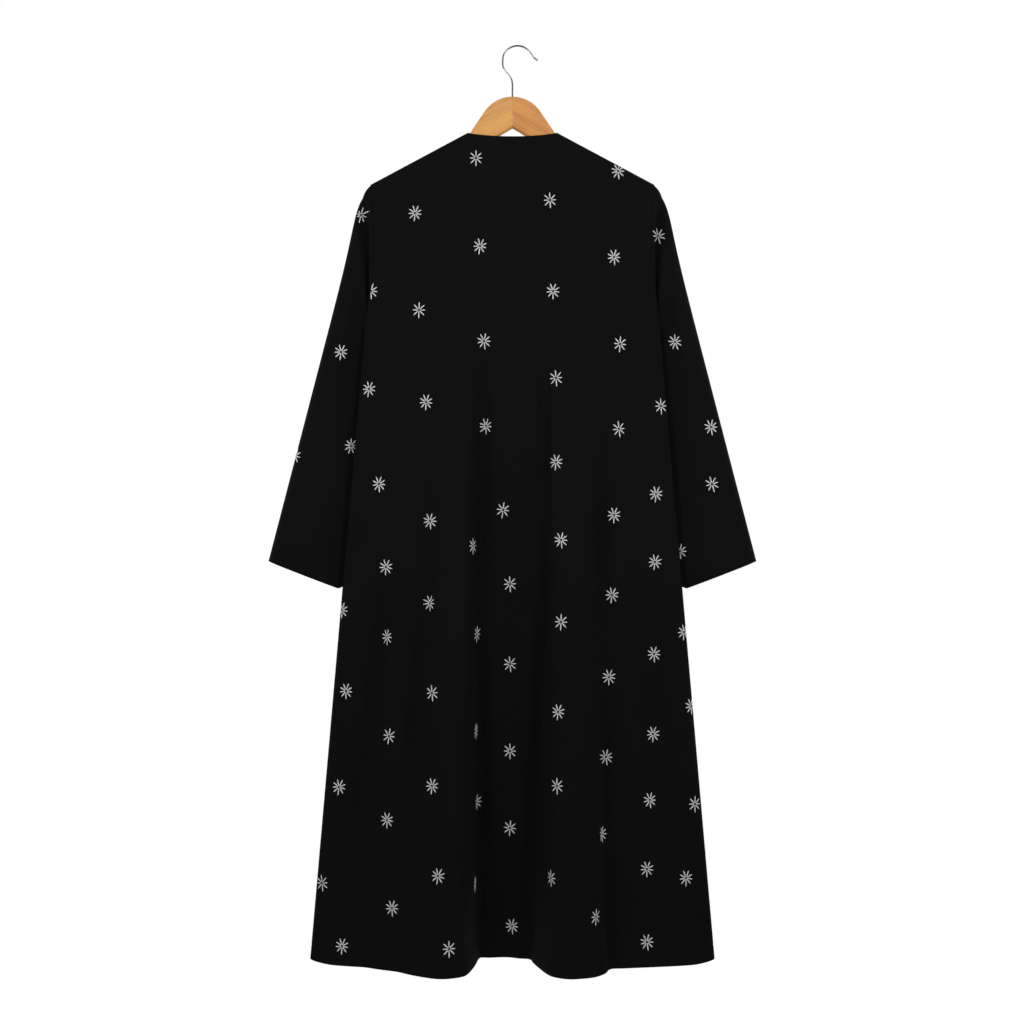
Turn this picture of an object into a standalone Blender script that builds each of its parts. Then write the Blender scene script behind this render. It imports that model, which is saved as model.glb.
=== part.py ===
"""A long-sleeved abaya cloak, hanging open on a wooden clothes hanger.

Metres, +Z up. The origin is the seat of the hook: the point inside the hook, straight
above its shank, that lies on a wardrobe rail. The garment's back faces -Y and its open
front faces +Y, so the wearer's left is at -X.

The cloak is one back panel, two fronts that hang edge to edge and two set-in sleeves.
Each is a wall of cloth of even thickness, 0.3 mm from its neighbour at the seams. The
panels come from one surface: a column of the panel runs from the shoulder or neckline to
the hem, and the surface's depth is the hanger's thickness, the slow belling of the cloth
and the folds that deepen towards the hem.
"""

from collections import namedtuple
import math

import bmesh
import bpy
import numpy as np

WALL = 0.0015
SEAM_GAP = 0.0003

NECK_HALF = 0.0745
NECK_Z = -0.1440
BACK_NECK_DIP = 0.006
FRONT_NECK_DROP = 0.110
FRONT_NECK_POWER = 0.9
SHOULDER_SLOPE = 0.535
SHOULDER_HALF = 0.234
SHOULDER_Z = NECK_Z - SHOULDER_SLOPE * (SHOULDER_HALF - NECK_HALF)
UNDERARM_Z = -0.437
UNDERARM_HALF = 0.240
ARMHOLE_HOLLOW = 0.008
ARMHOLE_DROP = SHOULDER_Z - UNDERARM_Z
HEM_Z = -1.515
HEM_HALF = 0.334
HEM_CORNER_RISE = 0.006
HEM_CORNER_ACROSS_POWER = 16
HEM_CORNER_DOWN_POWER = 8
SIDE_LENGTH = SHOULDER_Z - HEM_Z
FRONT_EDGE_TOP = 0.003
FRONT_EDGE_HEM = 0.014
NECK_COLUMN = NECK_HALF / SHOULDER_HALF
FRONT_EDGE_COLUMN = FRONT_EDGE_TOP / SHOULDER_HALF

# The cloth rounds over the hanger's arm: its depth at the arm, and the drop it takes.
RIDGE_DEPTH = 0.0086
RIDGE_DROP = 0.0048

# How far the side folds round: a high power keeps the panel's depth almost to its edge.
SIDE_FOLD_POWER = 24
UNDERARM_CLOSING = 0.022

# Depth of the belling cloth below the shoulder line, at the centre and at the sides. The
# power says how soon the depth falls off from the centre towards the side.
BELLING_POWER = 1.5
Belling = namedtuple("Belling", "drop back_centre front_centre side")
BELLING = [
    Belling(0.00, 0.000, 0.000, 0.0000),
    Belling(0.05, 0.002, 0.002, 0.0010),
    Belling(0.21, 0.012, 0.012, 0.0010),
    Belling(0.60, 0.018, 0.026, 0.0005),
    Belling(1.00, 0.023, 0.040, 0.0000),
    Belling(1.33, 0.026, 0.052, -0.0010),
]

# A fold line runs from x_top, where the folds start, to x_hem. Its depth is the one at the
# hem, and it is positive where the cloth comes outwards.
Fold = namedtuple("Fold", "name x_top x_hem depth")
FOLD_GROWTH = 1.25
BACK_FOLD_START = -0.36
BACK_FOLDS = [
    Fold("left side seam", -0.240, -0.334, 0.0000),
    Fold("left wing flat", -0.190, -0.245, 0.0030),
    Fold("left wing rise", -0.160, -0.219, 0.0110),
    Fold("left lobe foot", -0.130, -0.186, 0.0226),
    Fold("left lobe outer shoulder", -0.106, -0.142, 0.0440),
    Fold("left lobe crest", -0.085, -0.116, 0.0515),
    Fold("left lobe inner shoulder", -0.072, -0.084, 0.0400),
    Fold("recess left foot", -0.050, -0.051, -0.0580),
    Fold("recess middle", -0.004, -0.010, -0.0660),
    Fold("recess right foot", 0.050, 0.029, -0.0460),
    Fold("right lobe inner shoulder", 0.069, 0.070, 0.0400),
    Fold("right lobe crest", 0.081, 0.0954, 0.0510),
    Fold("right lobe outer shoulder", 0.098, 0.1245, 0.0460),
    Fold("right lobe foot", 0.125, 0.162, 0.0156),
    Fold("right wing flat", 0.155, 0.189, 0.0030),
    Fold("right side seam", 0.240, 0.334, 0.0000),
]
FRONT_FOLD_START = -0.45
FRONT_FOLDS = [
    Fold("front edge", 0.000, 0.000, 0.0000),
    Fold("inner flute", 0.060, 0.075, 0.0200),
    Fold("middle hollow", 0.105, 0.140, -0.0080),
    Fold("outer flute", 0.150, 0.205, 0.0260),
    Fold("side hollow", 0.205, 0.270, -0.0040),
    Fold("side seam", 0.240, 0.334, 0.0000),
]

# Long soft creases in the back: each fades in at its top and out at its bottom.
Crease = namedtuple("Crease", "x_top z_top x_bottom z_bottom depth half_width")
BACK_CREASES = [
    Crease(-0.125, -0.60, -0.190, -1.60, 0.004, 0.016),
    Crease(-0.200, -0.80, -0.260, -1.40, 0.005, 0.018),
    Crease(0.145, -0.62, 0.166, -1.60, 0.005, 0.016),
    Crease(0.193, -0.46, 0.255, -1.32, 0.006, 0.018),
]
CREASE_FADE = 0.18

# Rows of the panels: drops where the cloth rounds over the arm, then shares of the
# armhole, then even steps to the hem. Columns are counted between a panel's end columns.
ROUND_DROPS = (0.0, 0.0004, 0.0015, 0.0035, 0.007)
ARMHOLE_SHARES = (0.14, 0.33, 0.52, 0.71, 0.87, 0.95, 0.985, 1.0)
SKIRT_ROWS = 12
DENSE_COLUMNS = 160
NECK_CORNER_INSETS = (0.0010, 0.0035)
BACK_COLUMNS = (11, 1, 1, 18, 1, 1, 11)
FRONT_COLUMNS = (7, 1, 1, 11)

# Normals are read over a small step, and at an edge a little inside it, where the
# surface is not yet upright.
STEP = 2.0e-6
AT_EDGE = 1.0e-9
SIDE_NORMAL_COLUMN = 0.996
SLEEVE_NORMAL_SHARE = 2.0e-4
SLEEVE_NORMAL_ALONG = 2.0e-3
SHARP_ANGLE = math.radians(40)

# The sleeve: its outer edge bends over the arm and runs straight to the cuff, and its
# inner edge hangs just behind the body's side seam.
SLEEVE_START_ANGLE = math.radians(36)
SLEEVE_CAP_RADIUS = 0.036
SLEEVE_RUN_ANGLE = math.radians(75.3)
SLEEVE_FULLNESS = 0.004
SLEEVE_FULLEST = 0.05
CUFF_OUTER = (0.4070, 0.020, -0.8510)
CUFF_INNER_Z = -0.902
CUFF_CORNER_RISE = 0.014
CUFF_CORNER_START = 0.86
CUFF_CORNER_LENGTH = 0.10
SLEEVE_TUCK = 0.005
SLEEVE_BEHIND = 0.024
BEHIND_LENGTH = 0.085
UNDERARM_CLEAR = 0.0040
UNDERARM_TURN = 0.007
TUCK_START = 0.018
TUCK_LENGTH = 0.050
ARMHOLE_CURVE_END = 0.15
ARMHOLE_DEPTH_END = 0.035
CUFF_ROUND = 4
SLEEVE_STATIONS = [0.0, 0.016, 0.035, 0.06, 0.10, 0.15, 0.23, 0.34, 0.48, 0.64, 0.80, 0.92, 1.0]

# Depth of the sleeve's two faces along its length, 0 at the armhole and 1 at the cuff.
SleeveDepth = namedtuple("SleeveDepth", "along back_face front_face")
SLEEVE_DEPTHS = [
    SleeveDepth(0.000, 0.0093, 0.0093),
    SleeveDepth(0.110, 0.0130, 0.0160),
    SleeveDepth(0.250, 0.0160, 0.0190),
    SleeveDepth(0.600, 0.0180, 0.0200),
    SleeveDepth(1.000, 0.0190, 0.0210),
]

# The sleeve's back face dips into a long crease beside the armhole seam.
CAP_CREASE_DEPTH = 0.012
CAP_CREASE_ALONG = 0.040
CAP_CREASE_HALF = 0.030
CAP_CREASE_TOP_FADE = 0.22
CAP_CREASE_FOOT_FADE = 0.12

# The hanger: a domed middle, sloping arms and a V notch under the middle.
HANGER_HALF_THICK = 0.0065
HANGER_ROUND = 0.004
ARM_BELOW_SHOULDER = 0.00225
OUTLINE_STEPS = 8
FILLET_STEPS = 4
EDGE_STEPS = 3
DOME_RADIUS = 0.056
DOME_TOP_Z = -0.0819
FLANK_ANGLE = math.radians(56)
FLANK_FILLET = 0.008
NOTCH_Z = -0.1335
NOTCH_SLOPE = 0.60
NOTCH_HALF = 0.045
UNDERSIDE_SLOPE = 0.475
ARM_TOP_STOPS = (0.110, 0.160)
ARM_END_X = 0.2145
ARM_END_ROUND = 0.008
UNDERSIDE_STOPS = (0.170, 0.120, 0.080, NOTCH_HALF + 0.006, NOTCH_HALF - 0.006, 0.020)

# The hook: a wire screwed into the wood, bent to a crook with a small ball at its tip.
WIRE_RADIUS = 0.0015
WIRE_STEP = 0.0038
SPLINE_STEPS = 12
SHANK_HOLE_RADIUS = 0.0019
SHANK_HOLE_SIDES = 20
CUTTER_ABOVE_DOME = 0.010
SHANK_BOTTOM_Z = -0.109
HOLE_BOTTOM_Z = -0.110
CROOK_CENTRE = (0.0085, -0.0219)
CROOK_RADIUS = 0.025
NECK_OF_HOOK = [
    (0.0000, SHANK_BOTTOM_Z), (0.0000, -0.0900), (0.0000, -0.0700), (0.0000, -0.0600),
    (-0.0017, -0.0521), (-0.0060, -0.0455), (-0.0113, -0.0395), (-0.0149, -0.0336),
    (-0.0162, -0.0282),
]
CROOK_FROM_ANGLE = math.radians(180)
CROOK_TO_ANGLE = math.radians(38)
TAIL_OF_HOOK = [(0.0312, -0.0107), (0.0342, -0.0152), (0.0360, -0.0173), (0.0390, -0.0192)]
BALL_RADIUS = 0.0021
BALL_AHEAD = 0.7
BALL_FROM_ANGLE = 45
BALL_TO_ANGLE = 172
BALL_STEPS = 5


def ease(t):
    """A step from 0 to 1 with level ends."""
    t = np.clip(t, 0.0, 1.0)
    return t * t * (3.0 - 2.0 * t)


def mix(a, b, t):
    return a + (b - a) * t


def smooth_table(x, xs, ys):
    """A smooth curve through the points of a table that never overshoots them."""
    xs = np.asarray(xs, float)
    ys = np.asarray(ys, float)
    run = np.diff(xs)
    grade = np.diff(ys) / run
    slope = np.zeros_like(xs)
    same_way = grade[:-1] * grade[1:] > 0.0
    steeper = np.where(same_way, grade[:-1] + grade[1:], 1.0)
    slope[1:-1] = np.where(same_way, 2.0 * grade[:-1] * grade[1:] / steeper, 0.0)
    x = np.clip(x, xs[0], xs[-1])
    cell = np.clip(np.searchsorted(xs, x, side="right") - 1, 0, len(run) - 1)
    t = (x - xs[cell]) / run[cell]
    rise = t * t * (3.0 - 2.0 * t)
    leave = t * (1.0 - t) * (1.0 - t) * run[cell]
    arrive = t * t * (t - 1.0) * run[cell]
    return (mix(ys[cell], ys[cell + 1], rise)
            + leave * slope[cell] + arrive * slope[cell + 1])


def shoulder_line(x):
    """Height of the shoulder line, carried on above the neckline."""
    return NECK_Z + SHOULDER_SLOPE * (NECK_HALF - np.abs(x))


def top_edge(face, x):
    """Height of a panel's top edge: the shoulder seam, and the neckline between."""
    across = np.clip(np.abs(x) / NECK_HALF, 0.0, 1.0)
    if face == "back":
        neckline = NECK_Z - BACK_NECK_DIP * (1.0 - across ** 2)
    else:
        inside = np.clip((np.abs(x) - FRONT_EDGE_TOP) / (NECK_HALF - FRONT_EDGE_TOP), 0.0, 1.0)
        neckline = NECK_Z - FRONT_NECK_DROP * (1.0 - inside) ** FRONT_NECK_POWER
    return np.where(across < 1.0, neckline, shoulder_line(x))


def half_width(z):
    """Half the width of the body at a height: hollowed armholes, then a straight flare."""
    up = np.clip((z - UNDERARM_Z) / ARMHOLE_DROP, 0.0, 1.0)
    armhole = mix(UNDERARM_HALF, SHOULDER_HALF, up) - ARMHOLE_HOLLOW * 4.0 * up * (1.0 - up)
    down = np.clip((UNDERARM_Z - z) / (UNDERARM_Z - HEM_Z), 0.0, None)
    return np.where(z > UNDERARM_Z, armhole, mix(UNDERARM_HALF, HEM_HALF, down))


def fold_depth(x, z, folds, start):
    """Depth that the folds add: each fold line is followed down to its place at the hem."""
    down = np.clip((start - z) / (start - HEM_Z), 0.0, 1.0)
    place = np.where(x < 0.0, folds[0].x_hem, folds[-1].x_hem) + 0.0 * x
    for near, far in zip(folds, folds[1:]):
        near_x = mix(near.x_top, near.x_hem, down)
        far_x = mix(far.x_top, far.x_hem, down)
        share = (x - near_x) / (far_x - near_x)
        inside = (share >= 0.0) & (share <= 1.0)
        place = np.where(inside, mix(near.x_hem, far.x_hem, share), place)
    at_hem = smooth_table(place, [f.x_hem for f in folds], [f.depth for f in folds])
    return at_hem * down ** FOLD_GROWTH


def crease_depth(x, z):
    """Depth taken away by the back's soft creases."""
    depth = 0.0 * x
    for crease in BACK_CREASES:
        down = np.clip((crease.z_top - z) / (crease.z_top - crease.z_bottom), 0.0, 1.0)
        off = (x - mix(crease.x_top, crease.x_bottom, down)) / crease.half_width
        length = ease((crease.z_top - z) / CREASE_FADE) * ease((z - crease.z_bottom) / CREASE_FADE)
        depth = depth + crease.depth * np.exp(-off * off) * length
    return depth


def ridge_depth(below):
    """Depth of the cloth as it rounds over the hanger's arm."""
    left = 1.0 - np.clip(below / RIDGE_DROP, 0.0, 1.0)
    return RIDGE_DEPTH * (1.0 - left * left) ** (1.0 / 3.0)


def body_point(face, column, drop):
    """A point of a body panel's inner surface, which the wall stands out from.

    column is the place across the top edge, -1 to 1 between the shoulder points, and
    drop is the way down, measured at the armhole.
    """
    top_x = column * SHOULDER_HALF
    top = top_edge(face, top_x)
    down = np.clip(drop / SIDE_LENGTH, 0.0, 1.0)
    z = top - drop - (top - SHOULDER_Z) * ease(down)
    corner = np.abs(column) ** HEM_CORNER_ACROSS_POWER * down ** HEM_CORNER_DOWN_POWER
    z = z + HEM_CORNER_RISE * corner
    across = column
    if face == "front":
        lower_edge = mix(FRONT_EDGE_TOP, FRONT_EDGE_HEM, down) / half_width(z)
        near_edge = (NECK_COLUMN - np.abs(column)) / (NECK_COLUMN - FRONT_EDGE_COLUMN)
        shift = (lower_edge - FRONT_EDGE_COLUMN) * np.clip(near_edge, 0.0, 1.0)
        across = column + np.sign(column) * shift
    x = across * half_width(z)
    below = np.maximum(shoulder_line(x) - z, 0.0)

    drops = [row.drop for row in BELLING]
    side = smooth_table(below, drops, [row.side for row in BELLING])
    if face == "back":
        centre = smooth_table(below, drops, [row.back_centre for row in BELLING])
        folds = fold_depth(x, z, BACK_FOLDS, BACK_FOLD_START) - crease_depth(x, z)
    else:
        centre = smooth_table(below, drops, [row.front_centre for row in BELLING])
        folds = fold_depth(np.abs(x), z, FRONT_FOLDS, FRONT_FOLD_START)
    out = np.clip(1.0 - np.abs(across), 0.0, 1.0)
    belly = mix(side, centre, 1.0 - (1.0 - out) ** BELLING_POWER)
    depth = ridge_depth(below) + belly + folds

    height = np.clip((z - UNDERARM_Z) / UNDERARM_CLOSING, 0.0, 1.0)
    armhole_open = np.sqrt(1.0 - (1.0 - height) ** 2)
    side_fold = np.sqrt(np.clip(1.0 - np.abs(across) ** SIDE_FOLD_POWER, 0.0, 1.0))
    keep = mix(side_fold, 1.0, armhole_open)
    seam = SEAM_GAP / 2.0
    depth = seam + (depth - seam) * keep
    y = -depth if face == "back" else depth
    return np.stack(np.broadcast_arrays(x, y, z), axis=-1)


def even_columns(face, drop, ends, counts):
    """Columns of one row, evenly spaced along the cloth between the given end columns."""
    columns = [ends[0]]
    for first, last, count in zip(ends, ends[1:], counts):
        dense = np.linspace(first, last, DENSE_COLUMNS)
        points = body_point(face, dense, np.full_like(dense, drop))
        steps = np.linalg.norm(np.diff(points, axis=0), axis=1)
        length = np.concatenate(([0.0], np.cumsum(steps)))
        places = np.linspace(0.0, length[-1], count + 1)[1:]
        columns.extend(np.interp(places, length, dense))
    return np.array(columns)


def outward(surface, u, v, sign):
    """Unit normal of a surface at (u, v), by small steps either way."""
    along_u = surface(u + STEP, v) - surface(u - STEP, v)
    along_v = surface(u, v + STEP) - surface(u, np.maximum(v - STEP, 0.0))
    normal = np.cross(along_u, along_v) * sign
    return normal / np.linalg.norm(normal, axis=-1, keepdims=True)


def flatten_normal(normal, where, axis):
    """Turns chosen normals square to an axis, so that seam edges stay in one plane."""
    normal[where, axis] = 0.0
    normal[where] /= np.linalg.norm(normal[where], axis=-1, keepdims=True)


def wall_mesh(name, outer, inner, closed_across):
    """A closed wall between two grids of points, of rows by columns."""
    rows, columns = outer.shape[:2]
    mesh = bmesh.new()
    skin = [[[mesh.verts.new(point) for point in row] for row in grid] for grid in (outer, inner)]
    across = columns if closed_across else columns - 1
    for r in range(rows - 1):
        for c in range(across):
            d = (c + 1) % columns
            for grid in skin:
                mesh.faces.new((grid[r][c], grid[r][d], grid[r + 1][d], grid[r + 1][c]))
    for r in (0, rows - 1):
        for c in range(across):
            d = (c + 1) % columns
            mesh.faces.new((skin[0][r][c], skin[0][r][d], skin[1][r][d], skin[1][r][c]))
    if not closed_across:
        for c in (0, columns - 1):
            for r in range(rows - 1):
                mesh.faces.new((skin[0][r][c], skin[0][r + 1][c], skin[1][r + 1][c], skin[1][r][c]))
    bmesh.ops.recalc_face_normals(mesh, faces=mesh.faces)
    return finish_mesh(name, mesh)


def finish_mesh(name, mesh):
    data = bpy.data.meshes.new(name)
    mesh.to_mesh(data)
    mesh.free()
    data.shade_smooth()
    data.set_sharp_from_angle(angle=SHARP_ANGLE)
    thing = bpy.data.objects.new(name, data)
    bpy.context.scene.collection.objects.link(thing)
    return thing


def make_material(name, colour, roughness, metallic=0.0):
    material = bpy.data.materials.new(name)
    material.use_nodes = True
    shader = material.node_tree.nodes["Principled BSDF"]
    shader.inputs["Base Color"].default_value = (*colour, 1.0)
    shader.inputs["Roughness"].default_value = roughness
    shader.inputs["Metallic"].default_value = metallic
    return material


def armhole_drops():
    """Drops of the rows from the shoulder to the underarm."""
    return np.array(ROUND_DROPS + tuple(share * ARMHOLE_DROP for share in ARMHOLE_SHARES))


def row_drops():
    """Drops of all rows, from the top edge to the hem."""
    skirt = np.linspace(ARMHOLE_DROP, SIDE_LENGTH, SKIRT_ROWS + 1)[1:]
    return np.concatenate((armhole_drops(), skirt))


def panel_walls(face, columns, drops):
    """Outer and inner points of a body panel, at columns and drops of the same shape."""

    def surface(column, drop):
        return body_point(face, column, drop)

    inner = surface(columns, drops)
    sign = -1.0 if face == "back" else 1.0
    at_side = np.abs(columns) > 1.0 - AT_EDGE
    normal = outward(surface, np.where(at_side, columns * SIDE_NORMAL_COLUMN, columns), drops, sign)
    at_shoulder = (drops == 0.0) & (np.abs(columns) > NECK_COLUMN - AT_EDGE)
    at_side_seam = at_side & (drops > ARMHOLE_DROP - AT_EDGE)
    flatten_normal(normal, at_shoulder | at_side_seam, 1)
    flatten_normal(normal, drops > SIDE_LENGTH - AT_EDGE, 2)
    return inner + WALL * normal, inner


def make_panel(name, face, ends, counts, cloth):
    """A body panel: a grid on the inner surface, and one the wall's thickness outside it."""
    drops = row_drops()
    columns = np.array([even_columns(face, drop, ends, counts) for drop in drops])
    outer, inner = panel_walls(face, columns, np.repeat(drops[:, None], columns.shape[1], axis=1))
    panel = wall_mesh(name, outer, inner, closed_across=False)
    panel.data.materials.append(cloth)
    return panel


def sleeve_outer_edge(along):
    """The sleeve's outer edge: a bend over the arm, then straight to the cuff."""
    bend = SLEEVE_CAP_RADIUS * (SLEEVE_RUN_ANGLE - SLEEVE_START_ANGLE)
    bend_x = SHOULDER_HALF + SLEEVE_CAP_RADIUS * (
        math.sin(SLEEVE_RUN_ANGLE) - math.sin(SLEEVE_START_ANGLE))
    bend_z = SHOULDER_Z - SLEEVE_CAP_RADIUS * (
        math.cos(SLEEVE_START_ANGLE) - math.cos(SLEEVE_RUN_ANGLE))
    straight = math.hypot(CUFF_OUTER[0] - bend_x, CUFF_OUTER[2] - bend_z)
    way = along * (bend + straight)
    angle = SLEEVE_START_ANGLE + np.minimum(way, bend) / SLEEVE_CAP_RADIUS
    run = np.maximum(way - bend, 0.0) / straight
    x = SHOULDER_HALF + SLEEVE_CAP_RADIUS * (np.sin(angle) - math.sin(SLEEVE_START_ANGLE))
    z = SHOULDER_Z - SLEEVE_CAP_RADIUS * (math.cos(SLEEVE_START_ANGLE) - np.cos(angle))
    full = run / SLEEVE_FULLEST
    x = x + (CUFF_OUTER[0] - bend_x) * run + SLEEVE_FULLNESS * full * np.exp(1.0 - full)
    z = z + (CUFF_OUTER[2] - bend_z) * run
    y = CUFF_OUTER[1] * run
    return x + SEAM_GAP, y, z


def sleeve_inner_edge(along):
    """The sleeve's inner edge: round the underarm and down just behind the side seam."""
    z = mix(UNDERARM_Z, CUFF_INNER_Z, along)
    fallen = UNDERARM_Z - z
    clear = UNDERARM_CLEAR * ease(fallen / UNDERARM_TURN)
    tuck = (UNDERARM_CLEAR + SLEEVE_TUCK) * ease((fallen - TUCK_START) / TUCK_LENGTH)
    x = half_width(z) + SEAM_GAP + clear - tuck
    y = SLEEVE_BEHIND * ease(fallen / BEHIND_LENGTH)
    return x, y, z


def cap_crease(along, round_share):
    """Depth of the long crease beside the armhole seam."""
    off = (along - CAP_CREASE_ALONG) / CAP_CREASE_HALF
    ends = ease(round_share / CAP_CREASE_TOP_FADE)
    ends = ends * ease((1.0 - round_share) / CAP_CREASE_FOOT_FADE)
    return CAP_CREASE_DEPTH * np.exp(-off * off) * ends


def sleeve_point(face, along, round_share):
    """A point of the right sleeve's outer surface.

    along goes from the armhole to the cuff, round_share from the sleeve's outer edge to
    its inner edge, and face is the half of the tube, back or front. The first ring is the
    armhole's own edge, and its curve fades out down the sleeve.
    """
    outer_x, outer_y, outer_z = sleeve_outer_edge(along)
    inner_x, inner_y, inner_z = sleeve_inner_edge(along)
    armhole = body_point(face, np.ones_like(round_share), round_share * ARMHOLE_DROP)
    curve = armhole[..., 0] - mix(SHOULDER_HALF, UNDERARM_HALF, round_share)
    x = mix(outer_x, inner_x, round_share) + curve * (1.0 - ease(along / ARMHOLE_CURVE_END))

    corner = ease((round_share - CUFF_CORNER_START) / (1.0 - CUFF_CORNER_START))
    near_cuff = ease((along - 1.0 + CUFF_CORNER_LENGTH) / CUFF_CORNER_LENGTH)
    z = mix(outer_z, inner_z, round_share) + CUFF_CORNER_RISE * corner ** 2 * near_cuff

    stations = [row.along for row in SLEEVE_DEPTHS]
    depths = [getattr(row, face + "_face") for row in SLEEVE_DEPTHS]
    roundness = np.sqrt(np.clip(1.0 - np.abs(2.0 * round_share - 1.0) ** CUFF_ROUND, 0.0, 1.0))
    tube_depth = smooth_table(along, stations, depths) * roundness
    if face == "back":
        tube_depth = tube_depth - cap_crease(along, round_share)
    armhole_depth = np.abs(armhole[..., 1])
    depth = mix(armhole_depth, tube_depth, ease(along / ARMHOLE_DEPTH_END))
    middle = mix(outer_y, inner_y, round_share)
    y = middle - depth if face == "back" else middle + depth
    return np.stack(np.broadcast_arrays(x, y, z), axis=-1)


def sleeve_half(face, shares):
    """Outer and inner points of the sleeve's back or front half, ring by ring."""
    share_grid, along_grid = np.meshgrid(shares, np.array(SLEEVE_STATIONS))

    def surface(along, share):
        return sleeve_point(face, along, share)

    outer = surface(along_grid, share_grid)
    sign = -1.0 if face == "back" else 1.0
    inside = np.clip(share_grid, SLEEVE_NORMAL_SHARE, 1.0 - SLEEVE_NORMAL_SHARE)
    normal = outward(surface, np.maximum(along_grid, SLEEVE_NORMAL_ALONG), inside, sign)
    flatten_normal(normal, (share_grid == 0.0) | (share_grid == 1.0), 1)
    flatten_normal(normal, (along_grid == 0.0) & (normal[..., 0] > 0.0), 0)
    return outer, outer - WALL * normal


def make_sleeve(name, side, cloth):
    """A sleeve: rings of points from the armhole's own edge to the cuff."""
    shares = armhole_drops() / ARMHOLE_DROP
    mirror = np.array((side, 1.0, 1.0))
    walls = []
    for back, front in zip(sleeve_half("back", shares), sleeve_half("front", shares)):
        for edge in (0, -1):
            back[:, edge] = (back[:, edge] + front[:, edge]) / 2.0
        walls.append(np.concatenate((back, front[:, -2:0:-1]), axis=1) * mirror)
    sleeve = wall_mesh(name, walls[0], walls[1], closed_across=True)
    sleeve.data.materials.append(cloth)
    return sleeve


def hanger_outline():
    """Outline of the hanger's right half, from the joint over the arm and back."""
    half_joint = SEAM_GAP / 2.0
    dome_z = DOME_TOP_Z - DOME_RADIUS
    points = [(half_joint, DOME_TOP_Z)]
    for k in range(1, OUTLINE_STEPS + 1):
        angle = FLANK_ANGLE * k / OUTLINE_STEPS
        points.append((DOME_RADIUS * math.sin(angle), dome_z + DOME_RADIUS * math.cos(angle)))

    def arm_top(x):
        return float(shoulder_line(x)) - ARM_BELOW_SHOULDER

    flank_x, flank_z = points[-1]
    fall = math.tan(FLANK_ANGLE)
    line_z = arm_top(NECK_HALF) + SHOULDER_SLOPE * NECK_HALF
    corner_x = (flank_z + fall * flank_x - line_z) / (fall - SHOULDER_SLOPE)
    corner_z = line_z - SHOULDER_SLOPE * corner_x
    arm_angle = math.atan(SHOULDER_SLOPE)
    tangent = FLANK_FILLET * math.tan((FLANK_ANGLE - arm_angle) / 2.0)
    centre_x = corner_x - tangent * math.cos(FLANK_ANGLE) + FLANK_FILLET * math.sin(FLANK_ANGLE)
    centre_z = corner_z + tangent * math.sin(FLANK_ANGLE) + FLANK_FILLET * math.cos(FLANK_ANGLE)
    for k in range(FILLET_STEPS + 1):
        angle = mix(FLANK_ANGLE, arm_angle, k / FILLET_STEPS)
        points.append((centre_x - FLANK_FILLET * math.sin(angle),
                       centre_z - FLANK_FILLET * math.cos(angle)))

    def underside(x):
        steep = min(x, NOTCH_HALF)
        return NOTCH_Z - NOTCH_SLOPE * steep - UNDERSIDE_SLOPE * (x - steep)

    for x in ARM_TOP_STOPS:
        points.append((x, arm_top(x)))
    top_end = arm_top(ARM_END_X)
    low_end = underside(ARM_END_X)
    middle = (top_end + low_end) / 2.0
    tall = (top_end - low_end) / 2.0
    for k in range(OUTLINE_STEPS + 1):
        angle = math.radians(90 - 180 * k / OUTLINE_STEPS)
        lean = SHOULDER_SLOPE * ARM_END_ROUND * math.cos(angle)
        points.append((ARM_END_X + ARM_END_ROUND * math.cos(angle),
                       middle + tall * math.sin(angle) - lean))
    for x in UNDERSIDE_STOPS:
        points.append((x, underside(x)))
    points.append((half_joint, underside(half_joint)))
    return np.array(points)


def inset_outline(points, inset):
    """The outline moved into the wood; its two joint points only move up or down."""
    before = np.roll(points, 1, axis=0)
    after = np.roll(points, -1, axis=0)
    into = points - before
    out = after - points
    into = into / np.linalg.norm(into, axis=1, keepdims=True)
    out = out / np.linalg.norm(out, axis=1, keepdims=True)
    normal_in = np.stack((into[:, 1], -into[:, 0]), axis=1)
    normal_out = np.stack((out[:, 1], -out[:, 0]), axis=1)
    normal_in[0] = normal_out[0]
    normal_out[-1] = normal_in[-1]
    bisector = normal_in + normal_out
    length = np.linalg.norm(bisector, axis=1, keepdims=True)
    mitre = 2.0 / length
    moved = points + bisector / length * mitre * inset
    moved[0] = (points[0, 0], points[0, 1] - inset)
    slant = math.hypot(1.0, NOTCH_SLOPE)
    moved[-1] = (points[-1, 0], points[-1, 1] + inset * slant)
    return moved


def make_hanger_half(name, side, wood, cutter):
    """Half of the wooden hanger: insets of one outline give the rounded edges."""
    outline = hanger_outline()
    levels = []
    for k in range(EDGE_STEPS + 1):
        angle = math.radians(90 * k / EDGE_STEPS)
        inset = HANGER_ROUND * (1.0 - math.sin(angle))
        y = HANGER_HALF_THICK - HANGER_ROUND * (1.0 - math.cos(angle))
        levels.append((-y, inset))
    levels += [(-y, inset) for y, inset in reversed(levels)]
    mesh = bmesh.new()
    rings = []
    for y, inset in levels:
        ring = inset_outline(outline, inset)
        rings.append([mesh.verts.new((side * x, y, z)) for x, z in ring])
    count = len(outline)
    for lower, upper in zip(rings, rings[1:]):
        for k in range(count):
            j = (k + 1) % count
            mesh.faces.new((lower[k], lower[j], upper[j], upper[k]))
    mesh.faces.new(rings[0])
    mesh.faces.new(rings[-1])
    bmesh.ops.recalc_face_normals(mesh, faces=mesh.faces)
    half = finish_mesh(name, mesh)
    half.data.materials.append(wood)
    hole = half.modifiers.new("shank hole", "BOOLEAN")
    hole.operation = "DIFFERENCE"
    hole.object = cutter
    return half


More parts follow.
